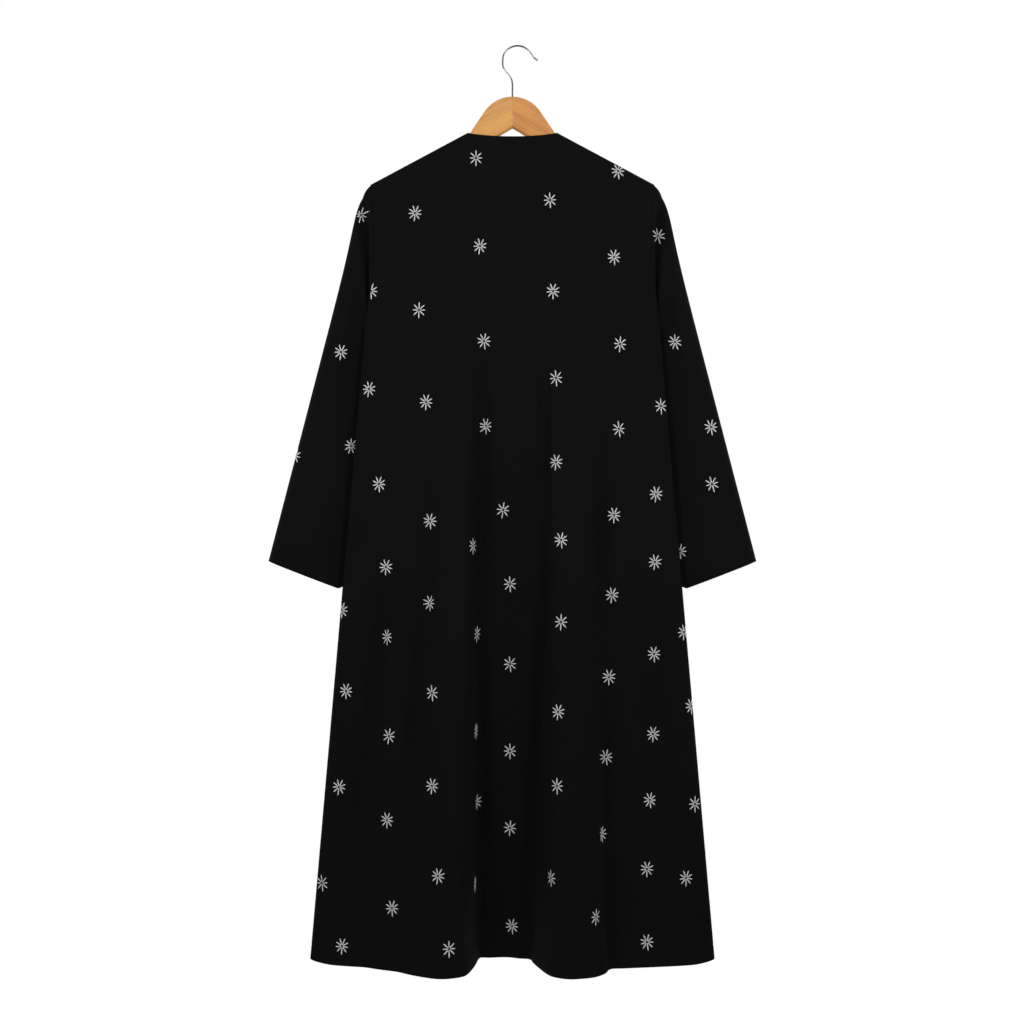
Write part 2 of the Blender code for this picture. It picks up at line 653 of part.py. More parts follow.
def make_shank_cutter():
    """The blind hole for the hook's shank."""
    mesh = bmesh.new()
    top_z = DOME_TOP_Z + CUTTER_ABOVE_DOME
    bmesh.ops.create_cone(mesh, cap_ends=True, segments=SHANK_HOLE_SIDES,
                          radius1=SHANK_HOLE_RADIUS, radius2=SHANK_HOLE_RADIUS,
                          depth=top_z - HOLE_BOTTOM_Z)
    bmesh.ops.translate(mesh, verts=mesh.verts, vec=(0.0, 0.0, (top_z + HOLE_BOTTOM_Z) / 2.0))
    cutter = finish_mesh("shank_cutter", mesh)
    cutter.hide_render = True
    cutter.display_type = "WIRE"
    return cutter


def hook_route():
    """Points along the wire, from the foot of the shank to the tip."""
    knots = list(NECK_OF_HOOK)
    for k in range(1, OUTLINE_STEPS + 1):
        angle = mix(CROOK_FROM_ANGLE, CROOK_TO_ANGLE, k / OUTLINE_STEPS)
        knots.append((CROOK_CENTRE[0] + CROOK_RADIUS * math.cos(angle),
                      CROOK_CENTRE[1] + CROOK_RADIUS * math.sin(angle)))
    knots += TAIL_OF_HOOK
    knots = np.array(knots)
    padded = np.vstack((2 * knots[0] - knots[1], knots, 2 * knots[-1] - knots[-2]))
    fine = []
    for a, b, c, d in zip(padded, padded[1:], padded[2:], padded[3:]):
        for t in np.linspace(0.0, 1.0, SPLINE_STEPS, endpoint=False):
            fine.append(0.5 * (2 * b + (c - a) * t + (2 * a - 5 * b + 4 * c - d) * t ** 2
                               + (3 * b - a - 3 * c + d) * t ** 3))
    fine.append(knots[-1])
    fine = np.array(fine)
    length = np.concatenate(([0.0], np.cumsum(np.linalg.norm(np.diff(fine, axis=0), axis=1))))
    places = np.linspace(0.0, length[-1], int(length[-1] / WIRE_STEP) + 1)
    return np.stack([np.interp(places, length, fine[:, k]) for k in (0, 1)], axis=1)


def make_hook(name, metal):
    """The bent wire with its ball tip."""
    route = hook_route()
    heading = route[-1] - route[-2]
    heading = heading / np.linalg.norm(heading)
    stops = [(point, 1.0) for point in route]
    tip = route[-1]
    for k in range(1, BALL_STEPS + 1):
        angle = math.radians(mix(BALL_FROM_ANGLE, BALL_TO_ANGLE, k / BALL_STEPS))
        centre = tip + heading * BALL_RADIUS * BALL_AHEAD
        place = centre - heading * BALL_RADIUS * math.cos(angle)
        stops.append((place, BALL_RADIUS * math.sin(angle) / WIRE_RADIUS))
    curve = bpy.data.curves.new(name, "CURVE")
    curve.dimensions = "3D"
    curve.bevel_depth = WIRE_RADIUS
    curve.bevel_resolution = 2
    curve.use_fill_caps = True
    spline = curve.splines.new("POLY")
    spline.points.add(len(stops) - 1)
    for point, (place, radius) in zip(spline.points, stops):
        point.co = (place[0], 0.0, place[1], 1.0)
        point.radius = radius
    curve.materials.append(metal)
    hook = bpy.data.objects.new(name, curve)
    bpy.context.scene.collection.objects.link(hook)
    return hook


def main():
    for thing in list(bpy.data.objects):
        bpy.data.objects.remove(thing, do_unlink=True)
    cloth = make_material("black_cloth", (0.009, 0.009, 0.010), 0.85)
    wood = make_material("hanger_wood", (0.62, 0.33, 0.12), 0.45)
    metal = make_material("hook_metal", (0.75, 0.75, 0.76), 0.18, metallic=1.0)

    corner = tuple(NECK_COLUMN - inset / SHOULDER_HALF for inset in NECK_CORNER_INSETS)
    left_half = (-1.0, -NECK_COLUMN) + tuple(-column for column in corner)
    right_half = tuple(-column for column in reversed(left_half))
    make_panel("back", "back", left_half + right_half, BACK_COLUMNS, cloth)
    for name, side in (("left", -1.0), ("right", 1.0)):
        ends = [side * column for column in (FRONT_EDGE_COLUMN,) + right_half]
        make_panel("front_" + name, "front", ends, FRONT_COLUMNS, cloth)
        make_sleeve("sleeve_" + name, side, cloth)
    cutter = make_shank_cutter()
    make_hanger_half("hanger_left", -1.0, wood, cutter)
    make_hanger_half("hanger_right", 1.0, wood, cutter)
    make_hook("hanger_hook", metal)


main()
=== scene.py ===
"""The dressed abaya cloak: fine cloth, embroidered flowers, grained wood and a polished hook.

The forms are the ones of the CAD part, repeated here from the same named values and drawn
finely, with the small creases, seams and stitches that the solids leave out. Metres, +Z up.
The origin is the seat of the hook; the cloak's back faces -Y, towards the camera.
"""

from collections import namedtuple
import math

import bpy
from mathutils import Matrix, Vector
from mathutils.bvhtree import BVHTree
import numpy as np


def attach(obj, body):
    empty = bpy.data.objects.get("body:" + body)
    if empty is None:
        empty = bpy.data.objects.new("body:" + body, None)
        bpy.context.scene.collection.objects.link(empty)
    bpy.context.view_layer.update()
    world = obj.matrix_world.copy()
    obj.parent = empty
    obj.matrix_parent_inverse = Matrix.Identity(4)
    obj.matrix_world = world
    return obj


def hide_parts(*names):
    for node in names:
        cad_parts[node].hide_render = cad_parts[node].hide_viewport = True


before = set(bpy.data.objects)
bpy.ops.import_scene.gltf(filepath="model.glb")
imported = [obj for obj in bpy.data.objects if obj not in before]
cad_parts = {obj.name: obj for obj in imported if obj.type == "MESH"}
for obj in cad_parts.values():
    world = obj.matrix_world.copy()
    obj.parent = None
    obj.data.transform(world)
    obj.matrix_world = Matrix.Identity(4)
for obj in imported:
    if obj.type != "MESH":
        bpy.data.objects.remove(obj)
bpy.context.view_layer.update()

# The camera stands where the photograph's did, 1024 pixels square.
PHOTO_PIXELS = 1024
CAMERA_PLACE = (-0.0007, -2.356, -0.7693)
CAMERA_LENS = 50.0
CAMERA_SENSOR = 36.0

# The solids' cloth, the finer shell drawn on its outside, and the gaps at the seams. The side
# seams stand closer than the solids' 0.3 mm, so that less light shows through them.
WALL = 0.0015
SHELL = 0.0009
SEAM_GAP = 0.0003
SIDE_SEAM_GAP = 0.0001

# The outline of the body.
NECK_HALF = 0.0745
NECK_Z = -0.1440
BACK_NECK_DIP = 0.006
FRONT_NECK_DROP = 0.110
FRONT_NECK_POWER = 0.9
SHOULDER_SLOPE = 0.535
SHOULDER_HALF = 0.234
SHOULDER_Z = NECK_Z - SHOULDER_SLOPE * (SHOULDER_HALF - NECK_HALF)
UNDERARM_Z = -0.437
UNDERARM_HALF = 0.240
ARMHOLE_HOLLOW = 0.008
ARMHOLE_DROP = SHOULDER_Z - UNDERARM_Z
HEM_Z = -1.515
HEM_HALF = 0.334
HEM_CORNER_RISE = 0.006
HEM_CORNER_ACROSS = 16
HEM_CORNER_DOWN = 8
SIDE_LENGTH = SHOULDER_Z - HEM_Z
FRONT_EDGE_TOP = 0.003
FRONT_EDGE_HEM = 0.014
NECK_COLUMN = NECK_HALF / SHOULDER_HALF
FRONT_EDGE_COLUMN = FRONT_EDGE_TOP / SHOULDER_HALF
RIDGE_DEPTH = 0.0086
RIDGE_DROP = 0.0048
RIDGE_POWER = 1.0 / 3.0
SIDE_FOLD_POWER = 24
UNDERARM_CLOSING = 0.022

# Depth of the belling cloth below the shoulder line, at the centre and at the sides.
Belling = namedtuple("Belling", "drop back_centre front_centre side")
BELLING = [
    Belling(0.00, 0.000, 0.000, 0.0000),
    Belling(0.05, 0.002, 0.002, 0.0010),
    Belling(0.21, 0.012, 0.012, 0.0010),
    Belling(0.60, 0.018, 0.026, 0.0005),
    Belling(1.00, 0.023, 0.040, 0.0000),
    Belling(1.33, 0.026, 0.052, -0.0010),
]
BELLING_POWER = 1.5

# A fold line runs from x_top, where the folds start, to x_hem; depth is the one at the hem.
Fold = namedtuple("Fold", "name x_top x_hem depth")
FOLD_GROWTH = 1.25
BACK_FOLD_START = -0.36
BACK_FOLDS = [
    Fold("left side seam", -0.240, -0.334, 0.0000),
    Fold("left wing flat", -0.190, -0.245, 0.0030),
    Fold("left wing rise", -0.160, -0.219, 0.0110),
    Fold("left lobe foot", -0.130, -0.186, 0.0226),
    Fold("left lobe outer shoulder", -0.106, -0.142, 0.0440),
    Fold("left lobe crest", -0.085, -0.116, 0.0515),
    Fold("left lobe inner shoulder", -0.072, -0.084, 0.0400),
    Fold("recess left foot", -0.050, -0.051, -0.0580),
    Fold("recess middle", -0.004, -0.010, -0.0660),
    Fold("recess right foot", 0.050, 0.029, -0.0460),
    Fold("right lobe inner shoulder", 0.069, 0.070, 0.0400),
    Fold("right lobe crest", 0.081, 0.0954, 0.0510),
    Fold("right lobe outer shoulder", 0.098, 0.1245, 0.0460),
    Fold("right lobe foot", 0.125, 0.162, 0.0156),
    Fold("right wing flat", 0.155, 0.189, 0.0030),
    Fold("right side seam", 0.240, 0.334, 0.0000),
]
FRONT_FOLD_START = -0.45
FRONT_FOLDS = [
    Fold("front edge", 0.000, 0.000, 0.0000),
    Fold("inner flute", 0.060, 0.075, 0.0200),
    Fold("middle hollow", 0.105, 0.140, -0.0080),
    Fold("outer flute", 0.150, 0.205, 0.0260),
    Fold("side hollow", 0.205, 0.270, -0.0040),
    Fold("side seam", 0.240, 0.334, 0.0000),
]

# Long soft creases in the back: each fades in at its top and out at its bottom.
Crease = namedtuple("Crease", "x_top z_top x_bottom z_bottom depth half_width")
BACK_CREASES = [
    Crease(-0.125, -0.60, -0.190, -1.60, 0.004, 0.016),
    Crease(-0.200, -0.80, -0.260, -1.40, 0.005, 0.018),
    Crease(0.145, -0.62, 0.166, -1.60, 0.005, 0.016),
    Crease(0.193, -0.46, 0.255, -1.32, 0.006, 0.018),
]
CREASE_FADE = 0.18

# Small soft ridges (height above 0) and dents (below 0), each along a short straight line in
# the surface's own places: x and z on the body, along and share on the sleeves.
Ripple = namedtuple("Ripple", "u_start v_start u_end v_end height half_width")
BACK_RIPPLES = [
    Ripple(-0.090, -0.165, -0.215, -0.250, -0.0008, 0.010),
    Ripple(0.090, -0.165, 0.215, -0.250, -0.0008, 0.010),
    Ripple(-0.060, -0.160, -0.150, -0.300, 0.0009, 0.014),
    Ripple(0.055, -0.160, 0.150, -0.310, 0.0009, 0.014),
    Ripple(-0.225, -0.420, -0.150, -0.500, -0.0012, 0.009),
    Ripple(0.225, -0.420, 0.155, -0.505, -0.0012, 0.009),
    Ripple(-0.236, -0.455, -0.200, -0.640, 0.0014, 0.010),
    Ripple(0.236, -0.455, 0.205, -0.640, 0.0014, 0.010),
    Ripple(-0.215, -0.350, -0.205, -0.560, -0.0010, 0.008),
    Ripple(0.212, -0.340, 0.204, -0.540, -0.0010, 0.008),
    Ripple(-0.047, -0.440, -0.049, -1.000, -0.0080, 0.009),
    Ripple(-0.048, -0.840, -0.057, -1.900, -0.0062, 0.009),
    Ripple(0.054, -0.440, 0.051, -1.000, -0.0080, 0.009),
    Ripple(0.057, -0.800, 0.028, -1.320, -0.0080, 0.009),
    Ripple(0.031, -1.120, 0.022, -1.950, -0.0080, 0.009),
    Ripple(-0.116, -0.500, -0.143, -1.000, -0.0062, 0.011),
    Ripple(-0.130, -0.820, -0.196, -1.440, -0.0080, 0.011),
    Ripple(-0.196, -0.800, -0.264, -1.360, -0.0065, 0.011),
    Ripple(0.140, -0.520, 0.148, -1.020, -0.0080, 0.010),
    Ripple(0.144, -0.800, 0.170, -1.800, -0.0100, 0.011),
    Ripple(0.185, -0.400, 0.198, -0.900, -0.0040, 0.011),
    Ripple(0.192, -0.760, 0.246, -1.320, -0.0065, 0.011),
    Ripple(-0.290, -1.050, -0.312, -1.470, 0.0018, 0.012),
    Ripple(0.285, -1.000, 0.310, -1.450, 0.0018, 0.012),
    Ripple(-0.238, -1.300, -0.246, -1.510, 0.0020, 0.012),
    Ripple(0.222, -1.280, 0.232, -1.510, 0.0020, 0.012),
    Ripple(-0.150, -1.220, -0.158, -1.510, -0.0016, 0.010),
    Ripple(0.140, -1.200, 0.146, -1.510, -0.0016, 0.010),
    Ripple(0.000, -1.150, -0.006, -1.510, 0.0020, 0.012),
]
FRONT_RIPPLES = [
    Ripple(0.040, -0.280, 0.060, -0.520, 0.0012, 0.012),
    Ripple(0.130, -0.200, 0.170, -0.420, -0.0010, 0.012),
    Ripple(0.225, -0.420, 0.160, -0.500, -0.0012, 0.009),
    Ripple(0.236, -0.460, 0.205, -0.640, 0.0014, 0.010),
    Ripple(0.030, -0.700, 0.034, -1.300, -0.0014, 0.010),
    Ripple(0.110, -0.800, 0.118, -1.200, 0.0014, 0.012),
    Ripple(0.290, -1.000, 0.312, -1.450, 0.0018, 0.012),
    Ripple(0.170, -1.250, 0.176, -1.510, -0.0014, 0.010),
]
RIPPLE_FADE = 0.35
RIPPLE_SIDE_QUIET = 0.012
RIPPLE_TOP_QUIET = 0.02

# The turned hem, the neckline's edge and the seams.
HEM_TURN = 0.024
HEM_KICK = 0.0045
HEM_KICK_FROM = 0.055
HEM_KICK_SIDE = 0.03
NECK_TURN = 0.007
FRONT_NECK_TURN = 0.012
STITCH_GROOVE = 0.00045
GROOVE_HALF = 0.0012
SEAM_DIP = 0.0009
SEAM_DIP_REACH = 0.003
SEAM_DIP_TOP = 0.01
SEAM_DIP_FOOT = 0.02

# The fine grid of the panels; rows crowd at the neck and in a band at the hem's stitching.
ROUND_DROPS = (0.0, 0.0002, 0.0005, 0.001, 0.0018, 0.0028, 0.0040, 0.0052, 0.0066, 0.0085)
NECK_ROWS_TO = 0.0135
NECK_ROWS = 8
ARMHOLE_ROWS = 36
SKIRT_ROWS = 126
STITCH_BAND = 0.004
HEM_BAND_ROWS = 10
DENSE_COLUMNS = 220
EDGE_STRIP = 0.006 / SHOULDER_HALF
BACK_COLUMNS = (5, 46, 50, 46, 5)
FRONT_COLUMNS = (26, 46, 5)
STEP = 2.0e-6
TINY = 1.0e-9
SIDE_NORMAL_COLUMN = 0.996
SLEEVE_NORMAL_SHARE = 2.0e-4
SLEEVE_NORMAL_ALONG = 2.0e-3

# The sleeves. Their places are shares: along from the armhole to the cuff, and round half of
# the tube from its outer edge to its inner edge.
SLEEVE_START_ANGLE = math.radians(36)
SLEEVE_CAP_RADIUS = 0.036
SLEEVE_RUN_ANGLE = math.radians(75.3)
SLEEVE_FULLNESS = 0.004
SLEEVE_FULLEST = 0.05
CUFF_OUTER = (0.4070, 0.020, -0.8510)
CUFF_INNER_Z = -0.902
CUFF_CORNER_RISE = 0.014
CUFF_CORNER_SHARE = 0.86
CUFF_CORNER_ALONG = 0.90
SLEEVE_TUCK = 0.005
SLEEVE_BEHIND = 0.024
BEHIND_LENGTH = 0.085
UNDERARM_CLEAR = 0.0012
UNDERARM_TURN = 0.007
TUCK_START = 0.004
TUCK_LENGTH = 0.040
ARMHOLE_CURVE_END = 0.15
ARMHOLE_DEPTH_END = 0.035
CUFF_ROUND = 4
SleeveDepth = namedtuple("SleeveDepth", "along back_face front_face")
SLEEVE_DEPTHS = [
    SleeveDepth(0.000, 0.0093, 0.0093),
    SleeveDepth(0.110, 0.0130, 0.0160),
    SleeveDepth(0.250, 0.0160, 0.0190),
    SleeveDepth(0.600, 0.0180, 0.0200),
    SleeveDepth(1.000, 0.0190, 0.0210),
]
CAP_CREASE_DEPTH = 0.012
CAP_CREASE_ALONG = 0.040
CAP_CREASE_HALF = 0.030
CAP_CREASE_TOP_FADE = 0.22
CAP_CREASE_FOOT_FADE = 0.12
CAP_RINGS = 40
CAP_RINGS_TO = 0.16
CAP_CROWDING = 1.4
MIDDLE_RINGS = 60
CUFF_TURN = 0.036
CUFF_BAND = 0.008
CUFF_BAND_RINGS = 9
CUFF_TURN_RINGS = 6
SLEEVE_SHARES = 46
FOOT_SHARE = 0.045
FOOT_SHARES = 8
FOOT_CROWDING = 1.6
SLEEVE_QUIET = 0.10
CUFF_GROOVE_QUIET = 0.02
# About the sleeve's length, which turns a share along it into metres.
SLEEVE_LENGTH = 0.6
SLEEVE_RIPPLES = [
    Ripple(0.10, 0.30, 0.60, 0.38, 0.0018, 0.110),
    Ripple(0.16, 0.60, 0.66, 0.66, -0.0016, 0.090),
    Ripple(0.20, 0.86, 0.80, 0.88, -0.0022, 0.080),
    Ripple(0.45, 0.20, 1.05, 0.28, -0.0012, 0.100),
    Ripple(0.50, 0.50, 1.10, 0.56, 0.0018, 0.110),
    Ripple(0.62, 0.76, 1.10, 0.84, -0.0016, 0.080),
]


def ease(t):
    """A step from 0 to 1 with level ends."""
    t = np.clip(t, 0.0, 1.0)
    return t * t * (3.0 - 2.0 * t)


def mix(a, b, t):
    return a + (b - a) * t


def unit(vectors):
    return vectors / np.linalg.norm(vectors, axis=-1, keepdims=True)


def run_lengths(points):
    """Length of a line of points, up to each of them."""
    steps = np.linalg.norm(np.diff(points, axis=0), axis=1)
    return np.concatenate(([0.0], np.cumsum(steps)))


def smooth_table(x, xs, ys):
    """A smooth curve through the points of a table that never overshoots them."""
    xs = np.asarray(xs, float)
    ys = np.asarray(ys, float)
    run = np.diff(xs)
    grade = np.diff(ys) / run
    slope = np.zeros_like(xs)
    same_way = grade[:-1] * grade[1:] > 0.0
    steeper = np.where(same_way, grade[:-1] + grade[1:], 1.0)
    slope[1:-1] = np.where(same_way, 2.0 * grade[:-1] * grade[1:] / steeper, 0.0)
    x = np.clip(x, xs[0], xs[-1])
    cell = np.clip(np.searchsorted(xs, x, side="right") - 1, 0, len(run) - 1)
    t = (x - xs[cell]) / run[cell]
    rise = t * t * (3.0 - 2.0 * t)
    leave = t * (1.0 - t) * (1.0 - t) * run[cell]
    arrive = t * t * (t - 1.0) * run[cell]
    return (mix(ys[cell], ys[cell + 1], rise)
            + leave * slope[cell] + arrive * slope[cell + 1])


def shoulder_line(x):
    """Height of the shoulder line, carried on above the neckline."""
    return NECK_Z + SHOULDER_SLOPE * (NECK_HALF - np.abs(x))


def top_edge(face, x):
    """Height of a panel's top edge: the shoulder seam, and the neckline between."""
    across = np.clip(np.abs(x) / NECK_HALF, 0.0, 1.0)
    if face == "back":
        neckline = NECK_Z - BACK_NECK_DIP * (1.0 - across ** 2)
    else:
        inside = np.clip((np.abs(x) - FRONT_EDGE_TOP) / (NECK_HALF - FRONT_EDGE_TOP), 0.0, 1.0)
        neckline = NECK_Z - FRONT_NECK_DROP * (1.0 - inside) ** FRONT_NECK_POWER
    return np.where(across < 1.0, neckline, shoulder_line(x))


def half_width(z):
    """Half the width of the body at a height: hollowed armholes, then a straight flare."""
    up = np.clip((z - UNDERARM_Z) / ARMHOLE_DROP, 0.0, 1.0)
    armhole = mix(UNDERARM_HALF, SHOULDER_HALF, up) - ARMHOLE_HOLLOW * 4.0 * up * (1.0 - up)
    down = np.clip((UNDERARM_Z - z) / (UNDERARM_Z - HEM_Z), 0.0, None)
    return np.where(z > UNDERARM_Z, armhole, mix(UNDERARM_HALF, HEM_HALF, down))


def fold_depth(x, z, folds, start):
    """Depth that the folds add: each fold line is followed down to its place at the hem."""
    down = np.clip((start - z) / (start - HEM_Z), 0.0, 1.0)
    place = np.where(x < 0.0, folds[0].x_hem, folds[-1].x_hem) + 0.0 * x
    for near, far in zip(folds, folds[1:]):
        near_x = mix(near.x_top, near.x_hem, down)
        far_x = mix(far.x_top, far.x_hem, down)
        share = (x - near_x) / (far_x - near_x)
        inside = (share >= 0.0) & (share <= 1.0)
        place = np.where(inside, mix(near.x_hem, far.x_hem, share), place)
    at_hem = smooth_table(place, [f.x_hem for f in folds], [f.depth for f in folds])
    return at_hem * down ** FOLD_GROWTH


def crease_depth(x, z):
    """Depth taken away by the back's soft creases."""
    depth = 0.0 * x
    for crease in BACK_CREASES:
        down = np.clip((crease.z_top - z) / (crease.z_top - crease.z_bottom), 0.0, 1.0)
        off = (x - mix(crease.x_top, crease.x_bottom, down)) / crease.half_width
        length = ease((crease.z_top - z) / CREASE_FADE) * ease((z - crease.z_bottom) / CREASE_FADE)
        depth = depth + crease.depth * np.exp(-off * off) * length
    return depth


def ridge_depth(below):
    """Depth of the cloth as it rounds over the hanger's arm."""
    left = 1.0 - np.clip(below / RIDGE_DROP, 0.0, 1.0)
    return RIDGE_DEPTH * (1.0 - left * left) ** RIDGE_POWER


def body_point(face, column, drop):
    """A point of a body panel's inner surface.

    column is the place across the top edge, -1 to 1 between the shoulder points, and
    drop is the way down, measured at the armhole.
    """
    top_x = column * SHOULDER_HALF
    top = top_edge(face, top_x)
    down = np.clip(drop / SIDE_LENGTH, 0.0, 1.0)
    z = top - drop - (top - SHOULDER_Z) * ease(down)
    corner = np.abs(column) ** HEM_CORNER_ACROSS * down ** HEM_CORNER_DOWN
    z = z + HEM_CORNER_RISE * corner
    across = column
    if face == "front":
        lower_edge = mix(FRONT_EDGE_TOP, FRONT_EDGE_HEM, down) / half_width(z)
        near_edge = (NECK_COLUMN - np.abs(column)) / (NECK_COLUMN - FRONT_EDGE_COLUMN)
        shift = (lower_edge - FRONT_EDGE_COLUMN) * np.clip(near_edge, 0.0, 1.0)
        across = column + np.sign(column) * shift
    x = across * half_width(z)
    below = np.maximum(shoulder_line(x) - z, 0.0)

    drops = [row.drop for row in BELLING]
    side = smooth_table(below, drops, [row.side for row in BELLING])
    centre = smooth_table(below, drops, [getattr(row, face + "_centre") for row in BELLING])
    if face == "back":
        folds = fold_depth(x, z, BACK_FOLDS, BACK_FOLD_START) - crease_depth(x, z)
    else:
        folds = fold_depth(np.abs(x), z, FRONT_FOLDS, FRONT_FOLD_START)
    out = np.clip(1.0 - np.abs(across), 0.0, 1.0)
    belling = mix(side, centre, 1.0 - (1.0 - out) ** BELLING_POWER)
    depth = ridge_depth(below) + belling + folds

    height = np.clip((z - UNDERARM_Z) / UNDERARM_CLOSING, 0.0, 1.0)
    armhole_open = np.sqrt(1.0 - (1.0 - height) ** 2)
    side_fold = np.sqrt(np.clip(1.0 - np.abs(across) ** SIDE_FOLD_POWER, 0.0, 1.0))
    keep = mix(side_fold, 1.0, armhole_open)
    seam = SIDE_SEAM_GAP / 2.0
    depth = seam + (depth - seam) * keep
    y = -depth if face == "back" else depth
    return np.stack(np.broadcast_arrays(x, y, z), axis=-1)


def ripple_height(ripples, u, v):
    """Height of soft ripples: each fades beside its line and towards the line's ends."""
    height = 0.0 * u
    for ripple in ripples:
        run_u = ripple.u_end - ripple.u_start
        run_v = ripple.v_end - ripple.v_start
        length = math.hypot(run_u, run_v)
        from_u = u - ripple.u_start
        from_v = v - ripple.v_start
        along = (from_u * run_u + from_v * run_v) / length ** 2
        off = (from_u * run_v - from_v * run_u) / length / ripple.half_width
        bump = np.exp(-off * off) * ease(along / RIPPLE_FADE) * ease((1.0 - along) / RIPPLE_FADE)
        height = height + ripple.height * bump
    return height


def groove(distance):
    """A stitched line's shallow groove, at distances measured from the line."""
    off = distance / GROOVE_HALF
    return -STITCH_GROOVE * np.exp(-off * off)


def body_detail(face, column, drop, points):
    """How far the fine cloth stands out from the plain surface of a body panel."""
    if face == "back":
        ripples = ripple_height(BACK_RIPPLES, points[..., 0], points[..., 2])
    else:
        ripples = ripple_height(FRONT_RIPPLES, np.abs(points[..., 0]), points[..., 2])
    from_side = (1.0 - np.abs(column)) * SHOULDER_HALF
    from_hem = SIDE_LENGTH - drop
    out = ripples * (ease(from_side / RIPPLE_SIDE_QUIET) * ease(drop / RIPPLE_TOP_QUIET))

    kick = ease((HEM_KICK_FROM - from_hem) / HEM_KICK_FROM) * ease(from_side / HEM_KICK_SIDE)
    out = out + HEM_KICK * kick + groove(from_hem - HEM_TURN)
    neck_turn = NECK_TURN if face == "back" else FRONT_NECK_TURN
    on_neck = np.abs(column) < NECK_COLUMN
    out = out + np.where(on_neck, groove(drop - neck_turn), 0.0)
    at_armhole = ease((ARMHOLE_DROP - drop) / SEAM_DIP_FOOT) * ease(drop / SEAM_DIP_TOP)
    dip = np.exp(-(from_side / SEAM_DIP_REACH) ** 2)
    return out - SEAM_DIP * dip * at_armhole


def outward(surface, face, u, v):
    """Unit normal of a surface's back or front face at (u, v), by small steps either way."""
    along_u = surface(face, u + STEP, v) - surface(face, u - STEP, v)
    along_v = surface(face, u, v + STEP) - surface(face, u, np.maximum(v - STEP, 0.0))
    return unit(np.cross(along_u, along_v)) * (-1.0 if face == "back" else 1.0)


def flatten_normal(normal, where, axis):
    """Turns chosen normals square to an axis, so that seam edges stay in one plane."""
    normal[where, axis] = 0.0
    normal[where] = unit(normal[where])


def panel_walls(face, columns, drops):
    """Outer points, inner points and normals of a body panel's fine shell."""
    plain = body_point(face, columns, drops)
    at_side = np.abs(columns) > 1.0 - TINY
    near_side = np.where(at_side, columns * SIDE_NORMAL_COLUMN, columns)
    normal = outward(body_point, face, near_side, drops)
    at_shoulder = (drops == 0.0) & (np.abs(columns) > NECK_COLUMN - TINY)
    at_side_seam = at_side & (drops > ARMHOLE_DROP - TINY)
    flatten_normal(normal, at_shoulder | at_side_seam, 1)
    flatten_normal(normal, drops > SIDE_LENGTH - TINY, 2)
    outer = plain + (WALL + body_detail(face, columns, drops, plain))[..., None] * normal
    return outer, outer - SHELL * normal, normal


def even_columns(face, drop, ends, counts):
    """Columns of one row, evenly spaced along the cloth between the given end columns."""
    columns = [ends[0]]
    for first, last, count in zip(ends, ends[1:], counts):
        dense = np.linspace(first, last, DENSE_COLUMNS)
        points = body_point(face, dense, np.full_like(dense, drop))
        length = run_lengths(points)
        places = np.linspace(0.0, length[-1], count + 1)[1:]
        columns.extend(np.interp(places, length, dense))
    return np.array(columns)


def panel_drops():
    """Drops of the fine rows: close together at the neck and at the hem's stitching."""
    neck = np.linspace(ROUND_DROPS[-1], NECK_ROWS_TO, NECK_ROWS + 1)[1:]
    armhole = np.linspace(NECK_ROWS_TO, ARMHOLE_DROP, ARMHOLE_ROWS + 1)[1:]
    stitched = SIDE_LENGTH - HEM_TURN
    skirt = np.linspace(ARMHOLE_DROP, stitched - STITCH_BAND, SKIRT_ROWS + 1)[1:]
    stitching = np.linspace(skirt[-1], stitched + STITCH_BAND, HEM_BAND_ROWS + 1)[1:]
    turned = np.linspace(stitching[-1], SIDE_LENGTH, HEM_BAND_ROWS + 1)[1:]
    return np.concatenate((ROUND_DROPS, neck, armhole, skirt, stitching, turned))


def grid_faces(rows, columns, first, closed_across):
    """Quads of a grid of points, as rows of four vertex numbers."""
    r, c = np.meshgrid(np.arange(rows - 1), np.arange(columns if closed_across else columns - 1),
                       indexing="ij")
    d = (c + 1) % columns
    quads = np.stack((r * columns + c, r * columns + d, (r + 1) * columns + d,
                      (r + 1) * columns + c), axis=-1)
    return quads.reshape(-1, 4) + first


def edge_faces(edge, offset, closed):
    """Quads that join an edge of the outer grid to the same edge of the inner one."""
    ahead = np.roll(edge, -1)
    if not closed:
        edge, ahead = edge[:-1], ahead[:-1]
    return np.stack((edge, ahead, ahead + offset, edge + offset), axis=-1)


def add_object(name, data):
    thing = bpy.data.objects.new(name, data)
    bpy.context.scene.collection.objects.link(thing)
    return thing


def make_object(name, points, faces, material, smooth_angle=40.0):
    """A smooth-shaded mesh object that rides on the one body."""
    mesh = bpy.data.meshes.new(name)
    mesh.from_pydata(points.tolist(), [], [list(map(int, face)) for face in faces])
    mesh.update()
    thing = add_object(name, mesh)
    mesh.materials.append(material)
    mesh.shade_smooth()
    mesh.set_sharp_from_angle(angle=math.radians(smooth_angle))
    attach(thing, "root")
    return thing


def shell_object(name, outer, inner, closed_across, flipped, material):
    """A closed thin shell between two grids of points."""
    rows, columns = outer.shape[:2]
    count = rows * columns
    outside = grid_faces(rows, columns, 0, closed_across)
    inside = grid_faces(rows, columns, count, closed_across)[:, ::-1]
    number = np.arange(count).reshape(rows, columns)
    faces = [outside, inside, edge_faces(number[0], count, closed_across)[:, ::-1],
             edge_faces(number[-1], count, closed_across)]
    if not closed_across:
        faces += [edge_faces(number[:, 0], count, False),
                  edge_faces(number[:, -1], count, False)[:, ::-1]]
    faces = np.concatenate(faces)
    if flipped:
        faces = faces[:, ::-1]
    points = np.concatenate((outer.reshape(-1, 3), inner.reshape(-1, 3)))
    return make_object(name, points, faces, material)


